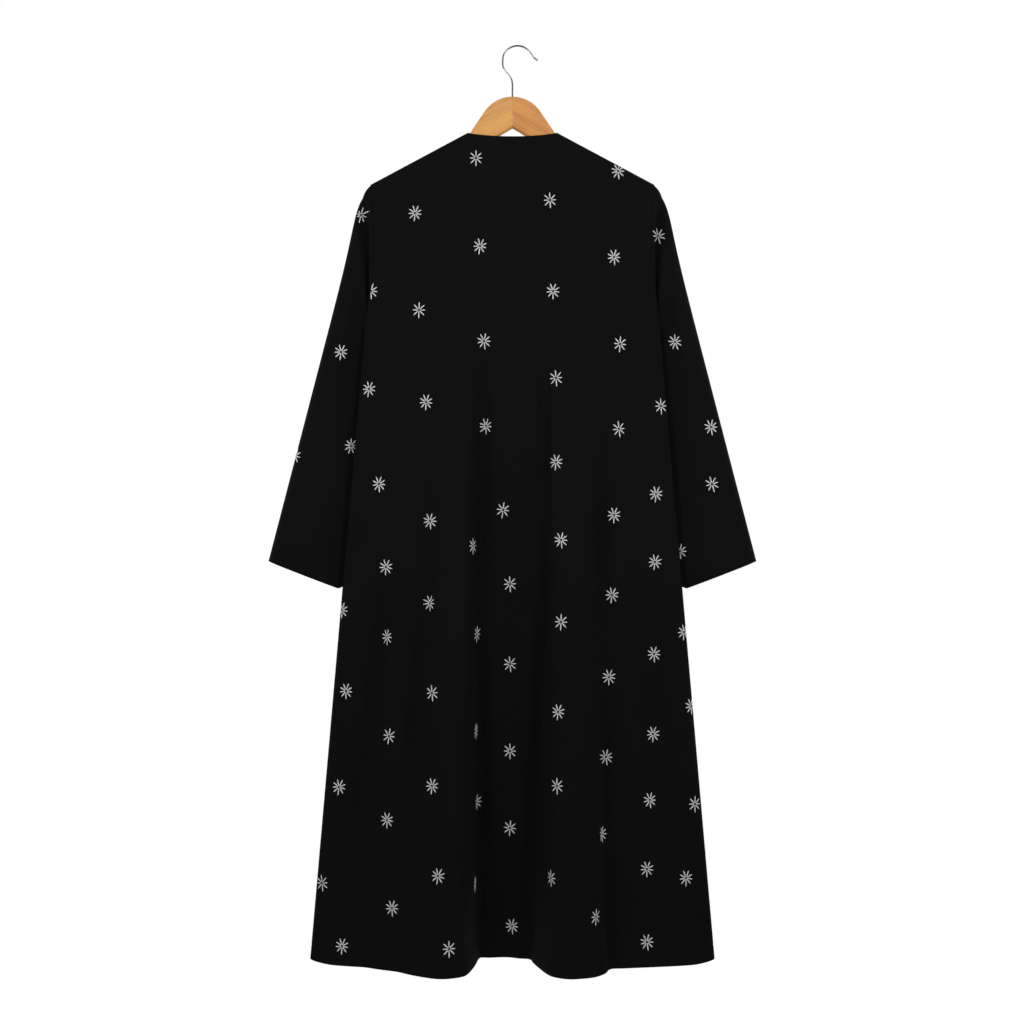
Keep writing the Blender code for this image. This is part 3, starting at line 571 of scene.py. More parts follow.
def make_panel(name, face, ends, counts, material):
    """A body panel's fine shell, and its outer surface for the flowers to lie on."""
    rows = panel_drops()
    columns = np.array([even_columns(face, drop, ends, counts) for drop in rows])
    drops = np.repeat(rows[:, None], columns.shape[1], axis=1)
    outer, inner, _ = panel_walls(face, columns, drops)
    flipped = (face == "back") == (columns[0, 0] < columns[0, -1])
    return shell_object(name, outer, inner, False, flipped, material), outer


def cap_bend(angle):
    """Place (x, z) on the bend of the sleeve's outer edge over the arm."""
    x = SHOULDER_HALF + SLEEVE_CAP_RADIUS * (np.sin(angle) - math.sin(SLEEVE_START_ANGLE))
    z = SHOULDER_Z - SLEEVE_CAP_RADIUS * (math.cos(SLEEVE_START_ANGLE) - np.cos(angle))
    return x, z


def sleeve_outer_edge(along):
    """The sleeve's outer edge: a bend over the arm, then straight to the cuff."""
    bend = SLEEVE_CAP_RADIUS * (SLEEVE_RUN_ANGLE - SLEEVE_START_ANGLE)
    bend_x, bend_z = cap_bend(SLEEVE_RUN_ANGLE)
    straight = math.hypot(CUFF_OUTER[0] - bend_x, CUFF_OUTER[2] - bend_z)
    way = along * (bend + straight)
    x, z = cap_bend(SLEEVE_START_ANGLE + np.minimum(way, bend) / SLEEVE_CAP_RADIUS)
    run = np.maximum(way - bend, 0.0) / straight
    full = run / SLEEVE_FULLEST
    x = x + (CUFF_OUTER[0] - bend_x) * run + SLEEVE_FULLNESS * full * np.exp(1.0 - full)
    z = z + (CUFF_OUTER[2] - bend_z) * run
    y = CUFF_OUTER[1] * run
    return x + SEAM_GAP, y, z


def sleeve_inner_edge(along):
    """The sleeve's inner edge: round the underarm and down just behind the side seam."""
    z = mix(UNDERARM_Z, CUFF_INNER_Z, along)
    fallen = UNDERARM_Z - z
    clear = UNDERARM_CLEAR * ease(fallen / UNDERARM_TURN)
    tuck = (UNDERARM_CLEAR + SLEEVE_TUCK) * ease((fallen - TUCK_START) / TUCK_LENGTH)
    x = half_width(z) + SEAM_GAP + clear - tuck
    y = SLEEVE_BEHIND * ease(fallen / BEHIND_LENGTH)
    return x, y, z


def cap_crease(along, round_share):
    """Depth of the long crease beside the armhole seam."""
    off = (along - CAP_CREASE_ALONG) / CAP_CREASE_HALF
    ends = ease(round_share / CAP_CREASE_TOP_FADE)
    ends = ends * ease((1.0 - round_share) / CAP_CREASE_FOOT_FADE)
    return CAP_CREASE_DEPTH * np.exp(-off * off) * ends


def sleeve_point(face, along, round_share):
    """A point of the right sleeve's outer surface.

    along goes from the armhole to the cuff, round_share from the sleeve's outer edge to
    its inner edge, and face is the half of the tube, back or front. The first ring is the
    armhole's own edge, and its curve fades out down the sleeve.
    """
    outer_x, outer_y, outer_z = sleeve_outer_edge(along)
    inner_x, inner_y, inner_z = sleeve_inner_edge(along)
    armhole = body_point(face, np.ones_like(round_share), round_share * ARMHOLE_DROP)
    curve = armhole[..., 0] - mix(SHOULDER_HALF, UNDERARM_HALF, round_share)
    x = mix(outer_x, inner_x, round_share) + curve * (1.0 - ease(along / ARMHOLE_CURVE_END))

    corner = ease((round_share - CUFF_CORNER_SHARE) / (1.0 - CUFF_CORNER_SHARE))
    near_cuff = ease((along - CUFF_CORNER_ALONG) / (1.0 - CUFF_CORNER_ALONG))
    z = mix(outer_z, inner_z, round_share) + CUFF_CORNER_RISE * corner ** 2 * near_cuff

    stations = [row.along for row in SLEEVE_DEPTHS]
    depths = [getattr(row, face + "_face") for row in SLEEVE_DEPTHS]
    roundness = np.sqrt(np.clip(1.0 - np.abs(2.0 * round_share - 1.0) ** CUFF_ROUND, 0.0, 1.0))
    tube_depth = smooth_table(along, stations, depths) * roundness
    if face == "back":
        tube_depth = tube_depth - cap_crease(along, round_share)
    armhole_depth = np.abs(armhole[..., 1])
    depth = mix(armhole_depth, tube_depth, ease(along / ARMHOLE_DEPTH_END))
    middle = mix(outer_y, inner_y, round_share)
    y = middle - depth if face == "back" else middle + depth
    return np.stack(np.broadcast_arrays(x, y, z), axis=-1)


def sleeve_detail(along, round_share):
    """How far the fine cloth stands out from the plain surface of the sleeve."""
    out = ripple_height(SLEEVE_RIPPLES, along, round_share)
    out = out * ease(round_share / SLEEVE_QUIET) * ease((1.0 - round_share) / SLEEVE_QUIET)
    from_stitches = (1.0 - along - CUFF_TURN) * SLEEVE_LENGTH
    return out + groove(from_stitches) * ease(round_share / CUFF_GROOVE_QUIET)


def sleeve_half(face, shares, stations):
    """Outer and inner points of the sleeve's back or front half, ring by ring."""
    share_grid, along_grid = np.meshgrid(shares, stations)
    inside = np.clip(share_grid, SLEEVE_NORMAL_SHARE, 1.0 - SLEEVE_NORMAL_SHARE)
    normal = outward(sleeve_point, face, np.maximum(along_grid, SLEEVE_NORMAL_ALONG), inside)
    flatten_normal(normal, (share_grid == 0.0) | (share_grid == 1.0), 1)
    flatten_normal(normal, (along_grid == 0.0) & (normal[..., 0] > 0.0), 0)
    plain = sleeve_point(face, along_grid, share_grid)
    outer = plain + sleeve_detail(along_grid, share_grid)[..., None] * normal
    return outer, outer - SHELL * normal


def sleeve_rings():
    """Places of the sleeve's rings: closer at the cap, and at the cuff's stitching."""
    cap = CAP_RINGS_TO * np.linspace(0.0, 1.0, CAP_RINGS) ** CAP_CROWDING
    stitches = 1.0 - CUFF_TURN
    stitched = np.linspace(stitches - CUFF_BAND, stitches + CUFF_BAND, CUFF_BAND_RINGS)
    middle = np.linspace(cap[-1], stitched[0], MIDDLE_RINGS)[1:-1]
    turned = np.linspace(stitched[-1], 1.0, CUFF_TURN_RINGS + 1)[1:]
    return np.concatenate((cap, middle, stitched, turned))


def sleeve_share_places():
    """Places round half of the sleeve: the armhole's fine rows, even steps, a crowded foot."""
    fine = np.array(ROUND_DROPS) / ARMHOLE_DROP
    even = np.linspace(fine[-1], 1.0 - FOOT_SHARE, SLEEVE_SHARES)[1:]
    left = 1.0 - np.linspace(0.0, 1.0, FOOT_SHARES + 1)[1:]
    return np.concatenate((fine, even, 1.0 - FOOT_SHARE * left ** FOOT_CROWDING))


def make_sleeve(name, side, material):
    """A sleeve's fine shell, from the armhole's own edge to the cuff."""
    shares = sleeve_share_places()
    stations = sleeve_rings()
    mirror = np.array((side, 1.0, 1.0))
    walls = []
    for back, front in zip(sleeve_half("back", shares, stations),
                           sleeve_half("front", shares, stations)):
        for edge in (0, -1):
            back[:, edge] = (back[:, edge] + front[:, edge]) / 2.0
        walls.append(np.concatenate((back, front[:, -2:0:-1]), axis=1) * mirror)
    return shell_object(name, *walls, True, side > 0.0, material), walls[0]


# Materials.

# One thread of the weave is about 0.6 mm wide.
WEAVE_SCALE = 2.0 * math.pi / (20.0 * 0.0006)
# The grain falls away from the middle joint, and is stretched along its own way.
GRAIN_ANGLE = 30.0
GRAIN_SCALE = (7.0, 60.0, 95.0)
GRAIN_CROWN = 1.16


def set_inputs(node, values):
    for name, value in values.items():
        node.inputs[name].default_value = value


def new_material(name, colour, roughness, more):
    """A material, its node tree and its shader; more holds further inputs of the shader."""
    material = bpy.data.materials.new(name)
    material.use_nodes = True
    shader = material.node_tree.nodes["Principled BSDF"]
    set_inputs(shader, {"Base Color": (*colour, 1.0), "Roughness": roughness, **more})
    return material, material.node_tree, shader


def maths(tree, operation, first, second):
    node = tree.nodes.new("ShaderNodeMath")
    node.operation = operation
    for socket, value in zip(node.inputs, (first, second)):
        if isinstance(value, (int, float)):
            socket.default_value = value
        else:
            tree.links.new(value, socket)
    return node.outputs[0]


def scaled(tree, value, factor, added):
    return maths(tree, "ADD", maths(tree, "MULTIPLY", value, factor), added)


def object_place(tree):
    return tree.nodes.new("ShaderNodeTexCoord").outputs["Object"]


def mapped(tree, place, setting, value):
    node = tree.nodes.new("ShaderNodeMapping")
    node.inputs[setting].default_value = value
    tree.links.new(place, node.inputs["Vector"])
    return node.outputs["Vector"]


def noise(tree, place, scale, detail, **more):
    node = tree.nodes.new("ShaderNodeTexNoise")
    set_inputs(node, {"Scale": scale, "Detail": detail, **more})
    tree.links.new(place, node.inputs["Vector"])
    return node.outputs["Fac"]


def tint(tree, shader, factor, stops):
    """Colours the shader by a ramp between stops of (place, colour)."""
    ramp = tree.nodes.new("ShaderNodeValToRGB")
    elements = ramp.color_ramp.elements
    while len(elements) < len(stops):
        elements.new(0.5)
    for element, (place, colour) in zip(elements, stops):
        element.position = place
        element.color = (*colour, 1.0)
    tree.links.new(factor, ramp.inputs["Fac"])
    tree.links.new(ramp.outputs["Color"], shader.inputs["Base Color"])


def bump(tree, shader, height, strength, distance):
    node = tree.nodes.new("ShaderNodeBump")
    set_inputs(node, {"Strength": strength, "Distance": distance})
    tree.links.new(height, node.inputs["Height"])
    tree.links.new(node.outputs["Normal"], shader.inputs["Normal"])


def cloth_material():
    """Black crepe: a fine plain weave, barely uneven, with a faint bloom at grazing angles."""
    material, tree, shader = new_material("black_cloth", (0.0052, 0.0052, 0.0053), 0.88, {
        "Specular IOR Level": 0.02, "Sheen Weight": 0.012, "Sheen Roughness": 0.45,
        "Sheen Tint": (0.97, 0.98, 1.0, 1.0)})
    place = object_place(tree)
    threads = []
    for direction in ("X", "Z"):
        wave = tree.nodes.new("ShaderNodeTexWave")
        wave.bands_direction = direction
        set_inputs(wave, {"Scale": WEAVE_SCALE, "Distortion": 0.6, "Detail": 1.0,
                          "Detail Scale": 0.4})
        tree.links.new(place, wave.inputs["Vector"])
        threads.append(wave.outputs["Fac"])
    weave = maths(tree, "ABSOLUTE", maths(tree, "SUBTRACT", *threads), 0.0)
    crepe = noise(tree, place, 620.0, 3.0)
    bump(tree, shader, scaled(tree, crepe, 0.8, weave), 0.35, 0.00012)

    patches = noise(tree, place, 9.0, 4.0)
    tone = scaled(tree, patches, 0.5, maths(tree, "MULTIPLY", weave, 0.5))
    tint(tree, shader, tone, [(0.15, (0.0042, 0.0043, 0.0042)), (0.85, (0.0063, 0.0065, 0.0063))])
    return material


def thread_painted_highlight_material(name, dark, light, gloss):
    """Thread: twisted strands, with a painted highlight on their crowns and painted shade between
    them.
    """
    material, tree, shader = new_material(name, light, 0.45, {"Specular IOR Level": gloss})
    strands = noise(tree, object_place(tree), 1900.0, 2.0)
    # The same noise lifts the bump: its crowns take the lighter colour as a painted highlight, its
    # hollows the darker one as painted shade.
    tint(tree, shader, strands, [(0.30, dark), (0.65, light)])
    bump(tree, shader, strands, 0.3, 0.0001)
    return material


def wood_material(name, side, light, dark):
    """Varnished wood with its grain running diagonally down one half of the hanger."""
    material, tree, shader = new_material(name, light, 0.38, {
        "Coat Weight": 0.12, "Coat Roughness": 0.3})
    lean = (0.0, -math.radians(GRAIN_ANGLE) * side, 0.0)
    grain = mapped(tree, mapped(tree, object_place(tree), "Rotation", lean), "Scale", GRAIN_SCALE)
    fibre = noise(tree, grain, 3.2, 8.0, Roughness=0.62, Distortion=0.4)
    bands = noise(tree, grain, 0.9, 3.0)
    tone = scaled(tree, fibre, 0.55, maths(tree, "MULTIPLY", bands, 0.45))
    crown = tuple(min(1.0, channel * GRAIN_CROWN) for channel in light)
    tint(tree, shader, tone, [(0.36, dark), (0.50, light), (0.66, crown)])
    tree.links.new(scaled(tree, fibre, 0.25, 0.28), shader.inputs["Roughness"])
    bump(tree, shader, fibre, 0.15, 0.0003)
    return material


def metal_material():
    """Polished wire, its gloss barely uneven."""
    material, tree, shader = new_material("hook_metal", (0.20, 0.20, 0.21), 0.30, {
        "Metallic": 1.0})
    drawn = noise(tree, object_place(tree), 420.0, 3.0)
    tree.links.new(scaled(tree, drawn, 0.12, 0.24), shader.inputs["Roughness"])
    bump(tree, shader, drawn, 0.02, 0.00005)
    return material


# Stitches and flowers.

class Strands:
    """Gathers many small tubes of thread into one mesh."""

    def __init__(self, sides, flatness=1.0):
        self.sides = sides
        self.flatness = flatness
        self.points = []
        self.faces = []
        self.count = 0

    def add(self, path, normals, radius):
        """One tube of thread along a path, closed at its ends."""
        side = unit(np.cross(normals, np.gradient(path, axis=0)))
        angle = np.linspace(0.0, 2.0 * math.pi, self.sides, endpoint=False)
        ring = (np.cos(angle)[None, :, None] * side[:, None, :]
                + self.flatness * np.sin(angle)[None, :, None] * normals[:, None, :])
        points = path[:, None, :] + radius * ring
        self.points.append(points.reshape(-1, 3))
        self.faces.append(grid_faces(len(path), self.sides, self.count, True)[:, ::-1])
        first = np.arange(self.sides) + self.count
        last = first + (len(path) - 1) * self.sides
        for k in range(1, self.sides - 1):
            self.faces.append(np.array([[first[0], first[k], first[k + 1], -1],
                                        [last[0], last[k + 1], last[k], -1]]))
        self.count += len(path) * self.sides

    def make(self, name, material):
        points = np.concatenate(self.points)
        faces = [[v for v in face if v >= 0] for group in self.faces for face in group.tolist()]
        return make_object(name, points, faces, material, smooth_angle=80.0)


def finder(outer, closed_across):
    """A search tree over a piece's outer surface."""
    rows, columns = outer.shape[:2]
    quads = grid_faces(rows, columns, 0, closed_across)
    return BVHTree.FromPolygons(outer.reshape(-1, 3).tolist(), quads.tolist())


def find(tree, start, way, reach):
    """Where a line first meets a surface, and the surface's normal against the line."""
    place, normal, _, _ = tree.ray_cast(Vector(start), Vector(way), reach)
    if place is None:
        return None
    if normal.dot(Vector(way)) > 0.0:
        normal = -normal
    return np.array(place), np.array(normal)


# A lazy-daisy flower: loops of thread round an open middle, each held by a small stitch.
PETAL_START = 0.0019
PETAL_LENGTH = 0.0094
PETAL_HALF = 0.00050
# The product of sines that shapes a petal peaks at 1 / 1.3.
PETAL_SWELL = 1.3
THREAD_SIDES = 5
THREAD_RADIUS = 0.00044
THREAD_FLATNESS = 0.55
THREAD_HEIGHT = 0.00012
PETAL_STATIONS = 13
ANCHOR_LENGTH = 0.0012
ANCHOR_STEPS = (-0.5, 0.1, 0.7)
ANCHOR_RADIUS = THREAD_RADIUS * 0.8
NINE_PETALS = (-90, -50, -10, 30, 70, 110, 150, 190, 230)
EIGHT_PETALS = (-90, -45, 0, 45, 90, 135, 180, 225)
LONGEST_PETAL = 1.20
UPRIGHT_PETAL = 1.10
SIDE_PETAL = 0.80
# The cloth under a thread is looked for from this far above it, and as far as this.
CLOTH_SEARCH_FROM = 0.012
CLOTH_SEARCH_REACH = 0.022


def petal_loop(length):
    """Points (out, across) of one petal's loop, from the middle out and back."""
    t = np.linspace(0.0, 2.0 * math.pi, PETAL_STATIONS)
    out = PETAL_START + length * (1.0 - np.cos(t)) / 2.0
    across = PETAL_HALF * PETAL_SWELL * np.sin(t) * np.sin(t / 2.0)
    return zip(out, across)


def lay_thread(strands, tree, centre, axes, flat_path, radius):
    """Lays a flat path of thread on the cloth, leaving out what falls past its edge."""
    right, up, normal = axes
    runs = [[]]
    for u, v in flat_path:
        over = centre + right * u + up * v
        found = find(tree, over + normal * CLOTH_SEARCH_FROM, -normal, CLOTH_SEARCH_REACH)
        if found:
            runs[-1].append(found)
        else:
            runs.append([])
    for run in runs:
        if len(run) > 2:
            places, normals = map(np.array, zip(*run))
            strands.add(places + normals * THREAD_HEIGHT, normals, radius)


def add_flower(strands, tree, centre, normal, turn, petals):
    """Embroiders one flower round a point of the cloth."""
    up = np.array((0.0, 0.0, 1.0))
    up = unit(up - normal * np.dot(up, normal))
    right = unit(np.cross(up, normal))
    for angle in petals:
        size = mix(SIDE_PETAL, UPRIGHT_PETAL, abs(math.sin(math.radians(angle))))
        if angle == -90:
            size = LONGEST_PETAL
        heading = math.radians(angle + turn)
        along = right * math.cos(heading) + up * math.sin(heading)
        axes = (along, unit(np.cross(normal, along)), normal)
        lay_thread(strands, tree, centre, axes, petal_loop(PETAL_LENGTH * size), THREAD_RADIUS)
        tip = PETAL_START + PETAL_LENGTH * size
        anchor = [(tip + step * ANCHOR_LENGTH, 0.0) for step in ANCHOR_STEPS]
        lay_thread(strands, tree, centre, axes, anchor, ANCHOR_RADIUS)


# Middles of the flowers that the photograph shows, in its pixels from the top left.
BACK_FLOWERS = [
    (476, 158), (618, 171), (415, 213), (550, 200), (480, 246), (614, 257),
    (419, 310), (553, 291), (484, 341), (620, 344), (371, 291),
    (369, 389), (556, 378), (426, 402), (486, 426), (619, 429),
    (556, 462), (379, 484), (503, 510), (430, 521), (614, 515),
    (473, 546), (561, 540), (386, 567), (510, 584), (612, 595), (430, 603),
    (561, 622), (342, 610), (387, 637), (477, 634), (654, 654), (684, 632),
    (510, 664), (609, 677), (346, 691), (432, 693), (558, 712), (691, 706),
    (389, 736), (476, 731), (653, 734), (510, 751), (606, 757), (432, 786),
    (557, 786), (339, 787), (650, 800), (695, 804), (387, 820), (477, 802),
    (510, 828), (602, 834), (438, 876), (551, 878), (647, 869), (686, 878),
    (322, 883), (475, 884), (392, 908), (596, 917), (512, 926), (342, 946),
    (449, 949), (647, 942), (656, 494), (661, 406), (655, 562),
]
SLEEVE_FLOWERS = {
    "left": [(361, 215), (341, 352), (351, 446), (296, 456)],
    "right": [(658, 236), (675, 342), (711, 427), (712, 484), (680, 551)],
}
TURNS = (0.0, 7.0, -5.0, 3.0, -8.0, 5.0, -2.0)

# On the sides that the photograph hides, the same half-drop repeat goes on.
REPEAT_DOWN = 0.150
FRONT_FIRST_Z = -0.225
FRONT_HEM_CLEAR = 0.02
FLARE_DRIFT = 0.25
HAND_ACROSS = 0.007
HAND_ACROSS_TURN = 5.0
HAND_DOWN = 0.012
HAND_DOWN_TURN = 3.0
SIDE_SHIFT = 0.020
FRONT_COLUMN_PLACES = (0.045, 0.130, 0.215, 0.300)
SLEEVE_FRONT_PLACES = [(0.13, 0.42), (0.30, 0.64), (0.54, 0.26), (0.72, 0.66), (0.89, 0.34)]
SLEEVE_LEAN = 14.0
SIGHT_REACH = 5.0
HIDDEN_SIGHT_Y = 0.5


def photo_sight(pixel):
    """The camera's line of sight through a pixel of the photograph."""
    focal = CAMERA_LENS / CAMERA_SENSOR * PHOTO_PIXELS
    across = (pixel[0] - PHOTO_PIXELS / 2) / focal
    down = (pixel[1] - PHOTO_PIXELS / 2) / focal
    return CAMERA_PLACE, unit(np.array((across, 1.0, -down)))


def hidden_sight(place):
    """A line of sight from the far side, through a place (x, z)."""
    return (place[0], HIDDEN_SIGHT_Y, place[1]), (0.0, -1.0, 0.0)


def add_flowers(strands, tree, sights, lean):
    """A flower where each line of sight, a start and a direction, first meets the cloth."""
    for number, (start, way) in enumerate(sights):
        found = find(tree, start, way, SIGHT_REACH)
        if found:
            turn = lean + TURNS[number % len(TURNS)]
            petals = NINE_PETALS if number % 3 else EIGHT_PETALS
            add_flower(strands, tree, found[0], found[1], turn, petals)


def front_places(side):
    """Half-drop columns that spread with the flare, each flower a little off its place."""
    places = []
    for index, column in enumerate(FRONT_COLUMN_PLACES):
        z = FRONT_FIRST_Z - REPEAT_DOWN / 2.0 * (index % 2) - SIDE_SHIFT * (1.0 + side)
        number = index + side
        while z > HEM_Z + FRONT_HEM_CLEAR:
            drift = 1.0 + FLARE_DRIFT * (SHOULDER_Z - z) / SIDE_LENGTH
            x = column * drift + HAND_ACROSS * math.sin(HAND_ACROSS_TURN * number)
            places.append((side * x, z + HAND_DOWN * math.sin(HAND_DOWN_TURN * number)))
            z -= REPEAT_DOWN
            number += 1.0
    return places


# The runs of small stitches along the hem, the cuffs and the neckline. A stitch dips into the
# cloth at both ends. The runs stop a little short of the seams and of the front edges.
STITCH_PITCH = 0.0042
STITCH_LENGTH = 0.0030
STITCH_RADIUS = 0.00022
STITCH_PLACES = np.array((0.0, 0.3, 0.7, 1.0))
STITCH_LIFTS = np.array((-0.6, 0.6, 0.6, -0.6)) * STITCH_RADIUS
STITCH_LINE_POINTS = 400
CUFF_LINE_POINTS = 200
HEM_STITCH_END = 0.99
NECK_STITCH_END = NECK_COLUMN * 0.97
HEM_STITCH_START = FRONT_EDGE_COLUMN * 1.4
NECK_STITCH_START = FRONT_EDGE_COLUMN * 1.6
CUFF_STITCH_START = 0.004


def add_stitches(strands, path, normals):
    """Short stitches, evenly spaced along a line on the cloth."""
    length = run_lengths(path)
    for start in np.arange(STITCH_PITCH, length[-1] - STITCH_PITCH, STITCH_PITCH):
        places = start + STITCH_LENGTH * STITCH_PLACES
        points, normal = (np.stack([np.interp(places, length, row) for row in line.T], axis=1)
                          for line in (path, normals))
        normal = unit(normal)
        strands.add(points + normal * STITCH_LIFTS[:, None], normal, STITCH_RADIUS)


def panel_stitches(strands, face, first, last, drop):
    """A run of stitches across a panel at one drop."""
    columns = np.linspace(first, last, STITCH_LINE_POINTS)[None, :]
    drops = np.full_like(columns, drop)
    outer, _, normal = panel_walls(face, columns, drops)
    add_stitches(strands, outer[0], normal[0])


def cuff_stitches(strands, side):
    shares = np.linspace(CUFF_STITCH_START, 1.0 - CUFF_STITCH_START, CUFF_LINE_POINTS)
    mirror = np.array((side, 1.0, 1.0))
    for face in ("back", "front"):
        outer, inner = sleeve_half(face, shares, np.array([1.0 - CUFF_TURN]))
        normal = (outer - inner) / SHELL
        add_stitches(strands, outer[0] * mirror, normal[0] * mirror)


# Build the cloth.

cloth = cloth_material()
# Each thread's darker colour is painted shade in the hollows of its bump, and its lighter colour a
# painted highlight on the crowns.
cloth_thread = thread_painted_highlight_material("black_thread", (0.003, 0.003, 0.003), (0.006, 0.006, 0.006), 0.05)
silver_thread = thread_painted_highlight_material("flower_thread", (0.46, 0.46, 0.47), (0.82, 0.82, 0.83), 0.35)

edge_column = 1.0 - EDGE_STRIP
right_ends = (NECK_COLUMN, edge_column, 1.0)
back_ends = tuple(-column for column in reversed(right_ends)) + right_ends
back_cloth, back_surface = make_panel("back_cloth", "back", back_ends, BACK_COLUMNS, cloth)
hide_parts("back")
back_flowers = Strands(THREAD_SIDES, THREAD_FLATNESS)
add_flowers(back_flowers, finder(back_surface, False), map(photo_sight, BACK_FLOWERS), 0.0)
pieces = {"back": (back_cloth, back_flowers)}

for name, side in (("left", -1.0), ("right", 1.0)):
    ends = [side * column for column in (FRONT_EDGE_COLUMN,) + right_ends]
    front_cloth, surface = make_panel("front_%s_cloth" % name, "front", ends, FRONT_COLUMNS, cloth)
    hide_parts("front_" + name)
    flowers = Strands(THREAD_SIDES, THREAD_FLATNESS)
    add_flowers(flowers, finder(surface, False), map(hidden_sight, front_places(side)), 0.0)
    pieces["front_" + name] = (front_cloth, flowers)

    sleeve_cloth, surface = make_sleeve("sleeve_%s_cloth" % name, side, cloth)
    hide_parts("sleeve_" + name)
    flowers = Strands(THREAD_SIDES, THREAD_FLATNESS)
    tree = finder(surface, True)
    add_flowers(flowers, tree, map(photo_sight, SLEEVE_FLOWERS[name]), SLEEVE_LEAN * side)
    places = []
    for along, share in SLEEVE_FRONT_PLACES:
        point = sleeve_point("front", np.array([along]), np.array([share]))[0]
        places.append((side * point[0], point[2]))
    add_flowers(flowers, tree, map(hidden_sight, places), SLEEVE_LEAN * side)
    pieces["sleeve_" + name] = (sleeve_cloth, flowers)

for name, (piece, flowers) in pieces.items():
    embroidery = flowers.make(name + "_flowers", silver_thread)
    pieces[name] = (piece, embroidery)

stitching = Strands(4)
hem_line = SIDE_LENGTH - HEM_TURN
panel_stitches(stitching, "back", -HEM_STITCH_END, HEM_STITCH_END, hem_line)
panel_stitches(stitching, "back", -NECK_STITCH_END, NECK_STITCH_END, NECK_TURN)
for side in (-1.0, 1.0):
    panel_stitches(stitching, "front", side * HEM_STITCH_START, side * HEM_STITCH_END, hem_line)
    panel_stitches(stitching, "front", side * NECK_STITCH_START, side * NECK_STITCH_END,
                   FRONT_NECK_TURN)
    cuff_stitches(stitching, side)
hem_stitches = stitching.make("hem_stitches", cloth_thread)


# The hanger keeps its CAD solids, with better materials.

# The right half is a darker copy of the same wood: painted shade. The glue line below takes this
# shaded copy too.
left_wood = wood_material("hanger_wood_left", -1.0, (0.64, 0.30, 0.072), (0.50, 0.203, 0.041))
shaded_right_wood = wood_material("hanger_wood_right_painted_shade", 1.0, (0.60, 0.25, 0.054), (0.44, 0.158, 0.028))
for node, material in (("hanger_left", left_wood), ("hanger_right", shaded_right_wood),
                       ("hanger_hook", metal_material())):
    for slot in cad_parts[node].material_slots:
        slot.material = material


# The glue in the joint of the two halves, a hair below the wood's surface, in the hanger's
# own sizes.
HANGER_HALF_THICK = 0.0065
HANGER_ROUND = 0.004
HANGER_TOP_Z = -0.0819
HANGER_FOOT_Z = -0.1335
HANGER_FOOT_SLANT = 1.166
GLUE_SINK = 0.00015
GLUE_INNER_Y = 0.0022
GLUE_HALF = 0.00012
GLUE_STEPS = 5


def glue_section():
    """Outline (y, z) of the glue before the hook's shank, with the wood's rounded edges."""
    angles = np.radians(np.linspace(0.0, 90.0, GLUE_STEPS + 1))
    y = HANGER_HALF_THICK - HANGER_ROUND * (1.0 - np.sin(angles)) - GLUE_SINK
    fall = HANGER_ROUND * (1.0 - np.cos(angles))
    top_z = HANGER_TOP_Z - GLUE_SINK
    foot_z = HANGER_FOOT_Z + GLUE_SINK
    rounded_top = zip(y, top_z - fall)
    rounded_foot = zip(y[::-1], foot_z + HANGER_FOOT_SLANT * fall[::-1])
    return [(GLUE_INNER_Y, top_z), *rounded_top, *rounded_foot, (GLUE_INNER_Y, foot_z)]


def make_glue_line(material):
    """The glue before and behind the hook's shank."""
    points = []
    faces = []
    section = glue_section()
    count = len(section)
    for side in (-1.0, 1.0):
        loop = [len(points) + k for k in range(count)]
        for x in (-GLUE_HALF, GLUE_HALF):
            points += [(x, side * y, z) for y, z in section]
        near = loop if side < 0.0 else loop[::-1]
        faces.append(near)
        faces.append([k + count for k in reversed(near)])
        for a, b in zip(near, near[1:] + near[:1]):
            faces.append([b, a, a + count, b + count])
    glue = make_object("hanger_glue_line", np.array(points), faces, material)


make_glue_line(shaded_right_wood)


# Floor, light and camera.

FLOOR_Z = -1.80
FLOOR_RADIUS = 0.5
FLOOR_SIDES = 96
# The white studio shows at full strength, and lights the cloak less than the lamps do.
AMBIENT = 0.25

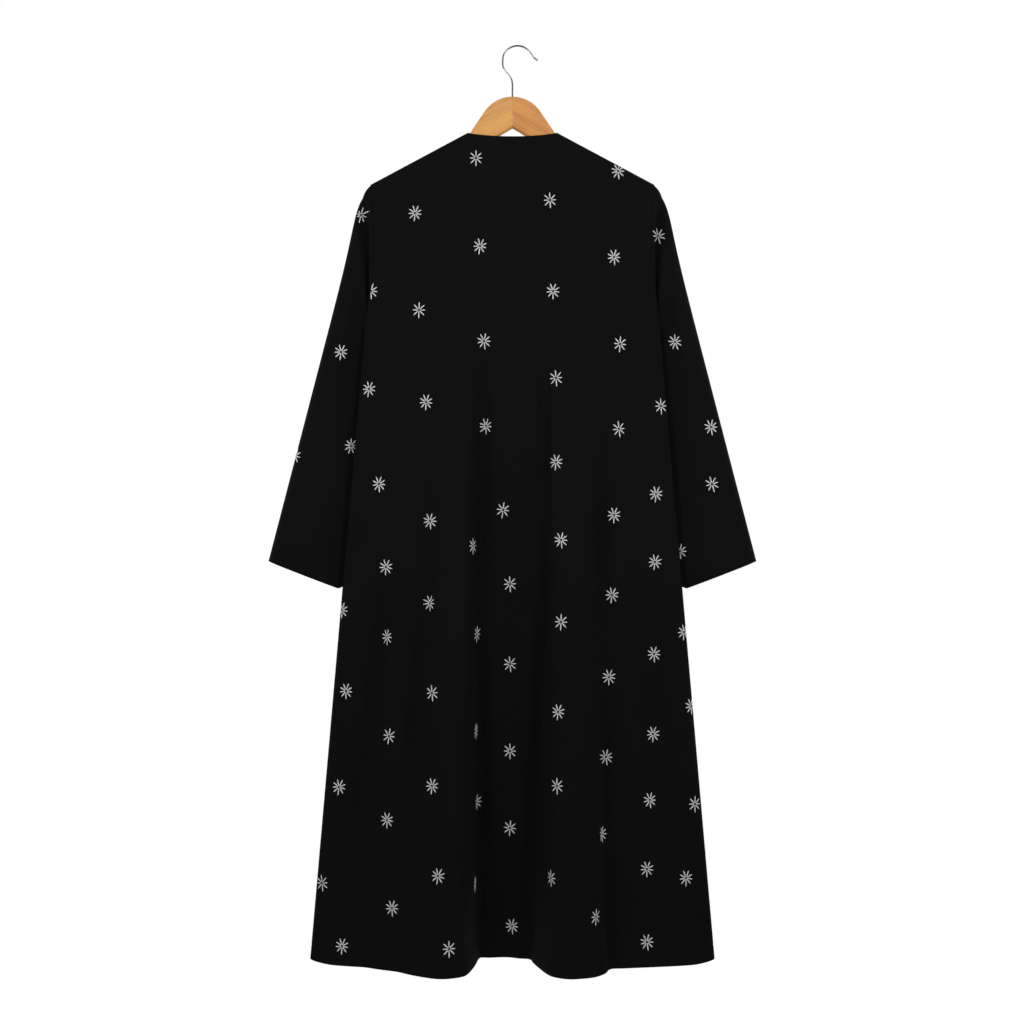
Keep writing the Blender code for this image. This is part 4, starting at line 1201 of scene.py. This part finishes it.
# The lamps. Those at the sides stand on the right and, mirrored, on the left.
Lamp = namedtuple("Lamp", "name place aim width height power")
FRONT_LAMP = Lamp("front", (0.0, -2.4, 1.2), (0.0, 0.0, -0.5), 1.6, 1.0, 16.0)
SIDE_LAMPS = [
    Lamp("side", (1.8, -0.45, 0.35), (0.3, -0.2, 1.2), 1.0, 0.8, 17.0),
    Lamp("near", (0.95, -1.2, -0.45), (0.15, 0.0, -0.8), 0.4, 0.5, 7.6),
    Lamp("rim", (1.8, 0.9, -0.2), (0.3, 0.0, -0.7), 0.8, 2.0, 24.0),
    Lamp("floor", (3.0, 5.5, 3.0), (3.0, 5.5, -1.8), 6.0, 8.0, 300.0),
]


def make_floor():
    """A round pale floor below the cloak, a little wider than its hem."""
    angles = np.linspace(0.0, 2.0 * math.pi, FLOOR_SIDES, endpoint=False)
    rim = [(FLOOR_RADIUS * math.cos(a), FLOOR_RADIUS * math.sin(a), FLOOR_Z) for a in angles]
    mesh = bpy.data.meshes.new("floor")
    mesh.from_pydata(rim, [], [tuple(range(FLOOR_SIDES))])
    pale, _, _ = new_material("pale_floor", (0.92, 0.92, 0.92), 0.9, {})
    mesh.materials.append(pale)
    add_object("floor", mesh)


def add_lamp(lamp, side):
    data = bpy.data.lights.new(lamp.name, "AREA")
    data.shape = "RECTANGLE"
    data.size = lamp.width
    data.size_y = lamp.height
    data.energy = lamp.power
    place, aim = (Vector((side * x, y, z)) for x, y, z in (lamp.place, lamp.aim))
    light = add_object(lamp.name, data)
    light.location = place
    light.rotation_euler = (aim - place).to_track_quat("-Z", "Y").to_euler()


def make_world():
    world = bpy.data.worlds.new("studio")
    world.use_nodes = True
    tree = world.node_tree
    background = tree.nodes["Background"]
    background.inputs["Color"].default_value = (1.0, 1.0, 1.0, 1.0)
    seen = tree.nodes.new("ShaderNodeLightPath").outputs["Is Camera Ray"]
    tree.links.new(scaled(tree, seen, 1.0 - AMBIENT, AMBIENT), background.inputs["Strength"])
    bpy.context.scene.world = world


def make_camera():
    data = bpy.data.cameras.new("camera")
    data.lens = CAMERA_LENS
    data.sensor_width = CAMERA_SENSOR
    data.sensor_height = CAMERA_SENSOR
    camera = add_object("camera", data)
    camera.location = CAMERA_PLACE
    camera.rotation_euler = (math.radians(90), 0.0, 0.0)
    bpy.context.scene.camera = camera


make_floor()
make_world()
add_lamp(FRONT_LAMP, 1.0)
for side in (-1.0, 1.0):
    for lamp in SIDE_LAMPS:
        add_lamp(lamp, side)
make_camera()
bpy.context.scene.view_settings.view_transform = "Standard"
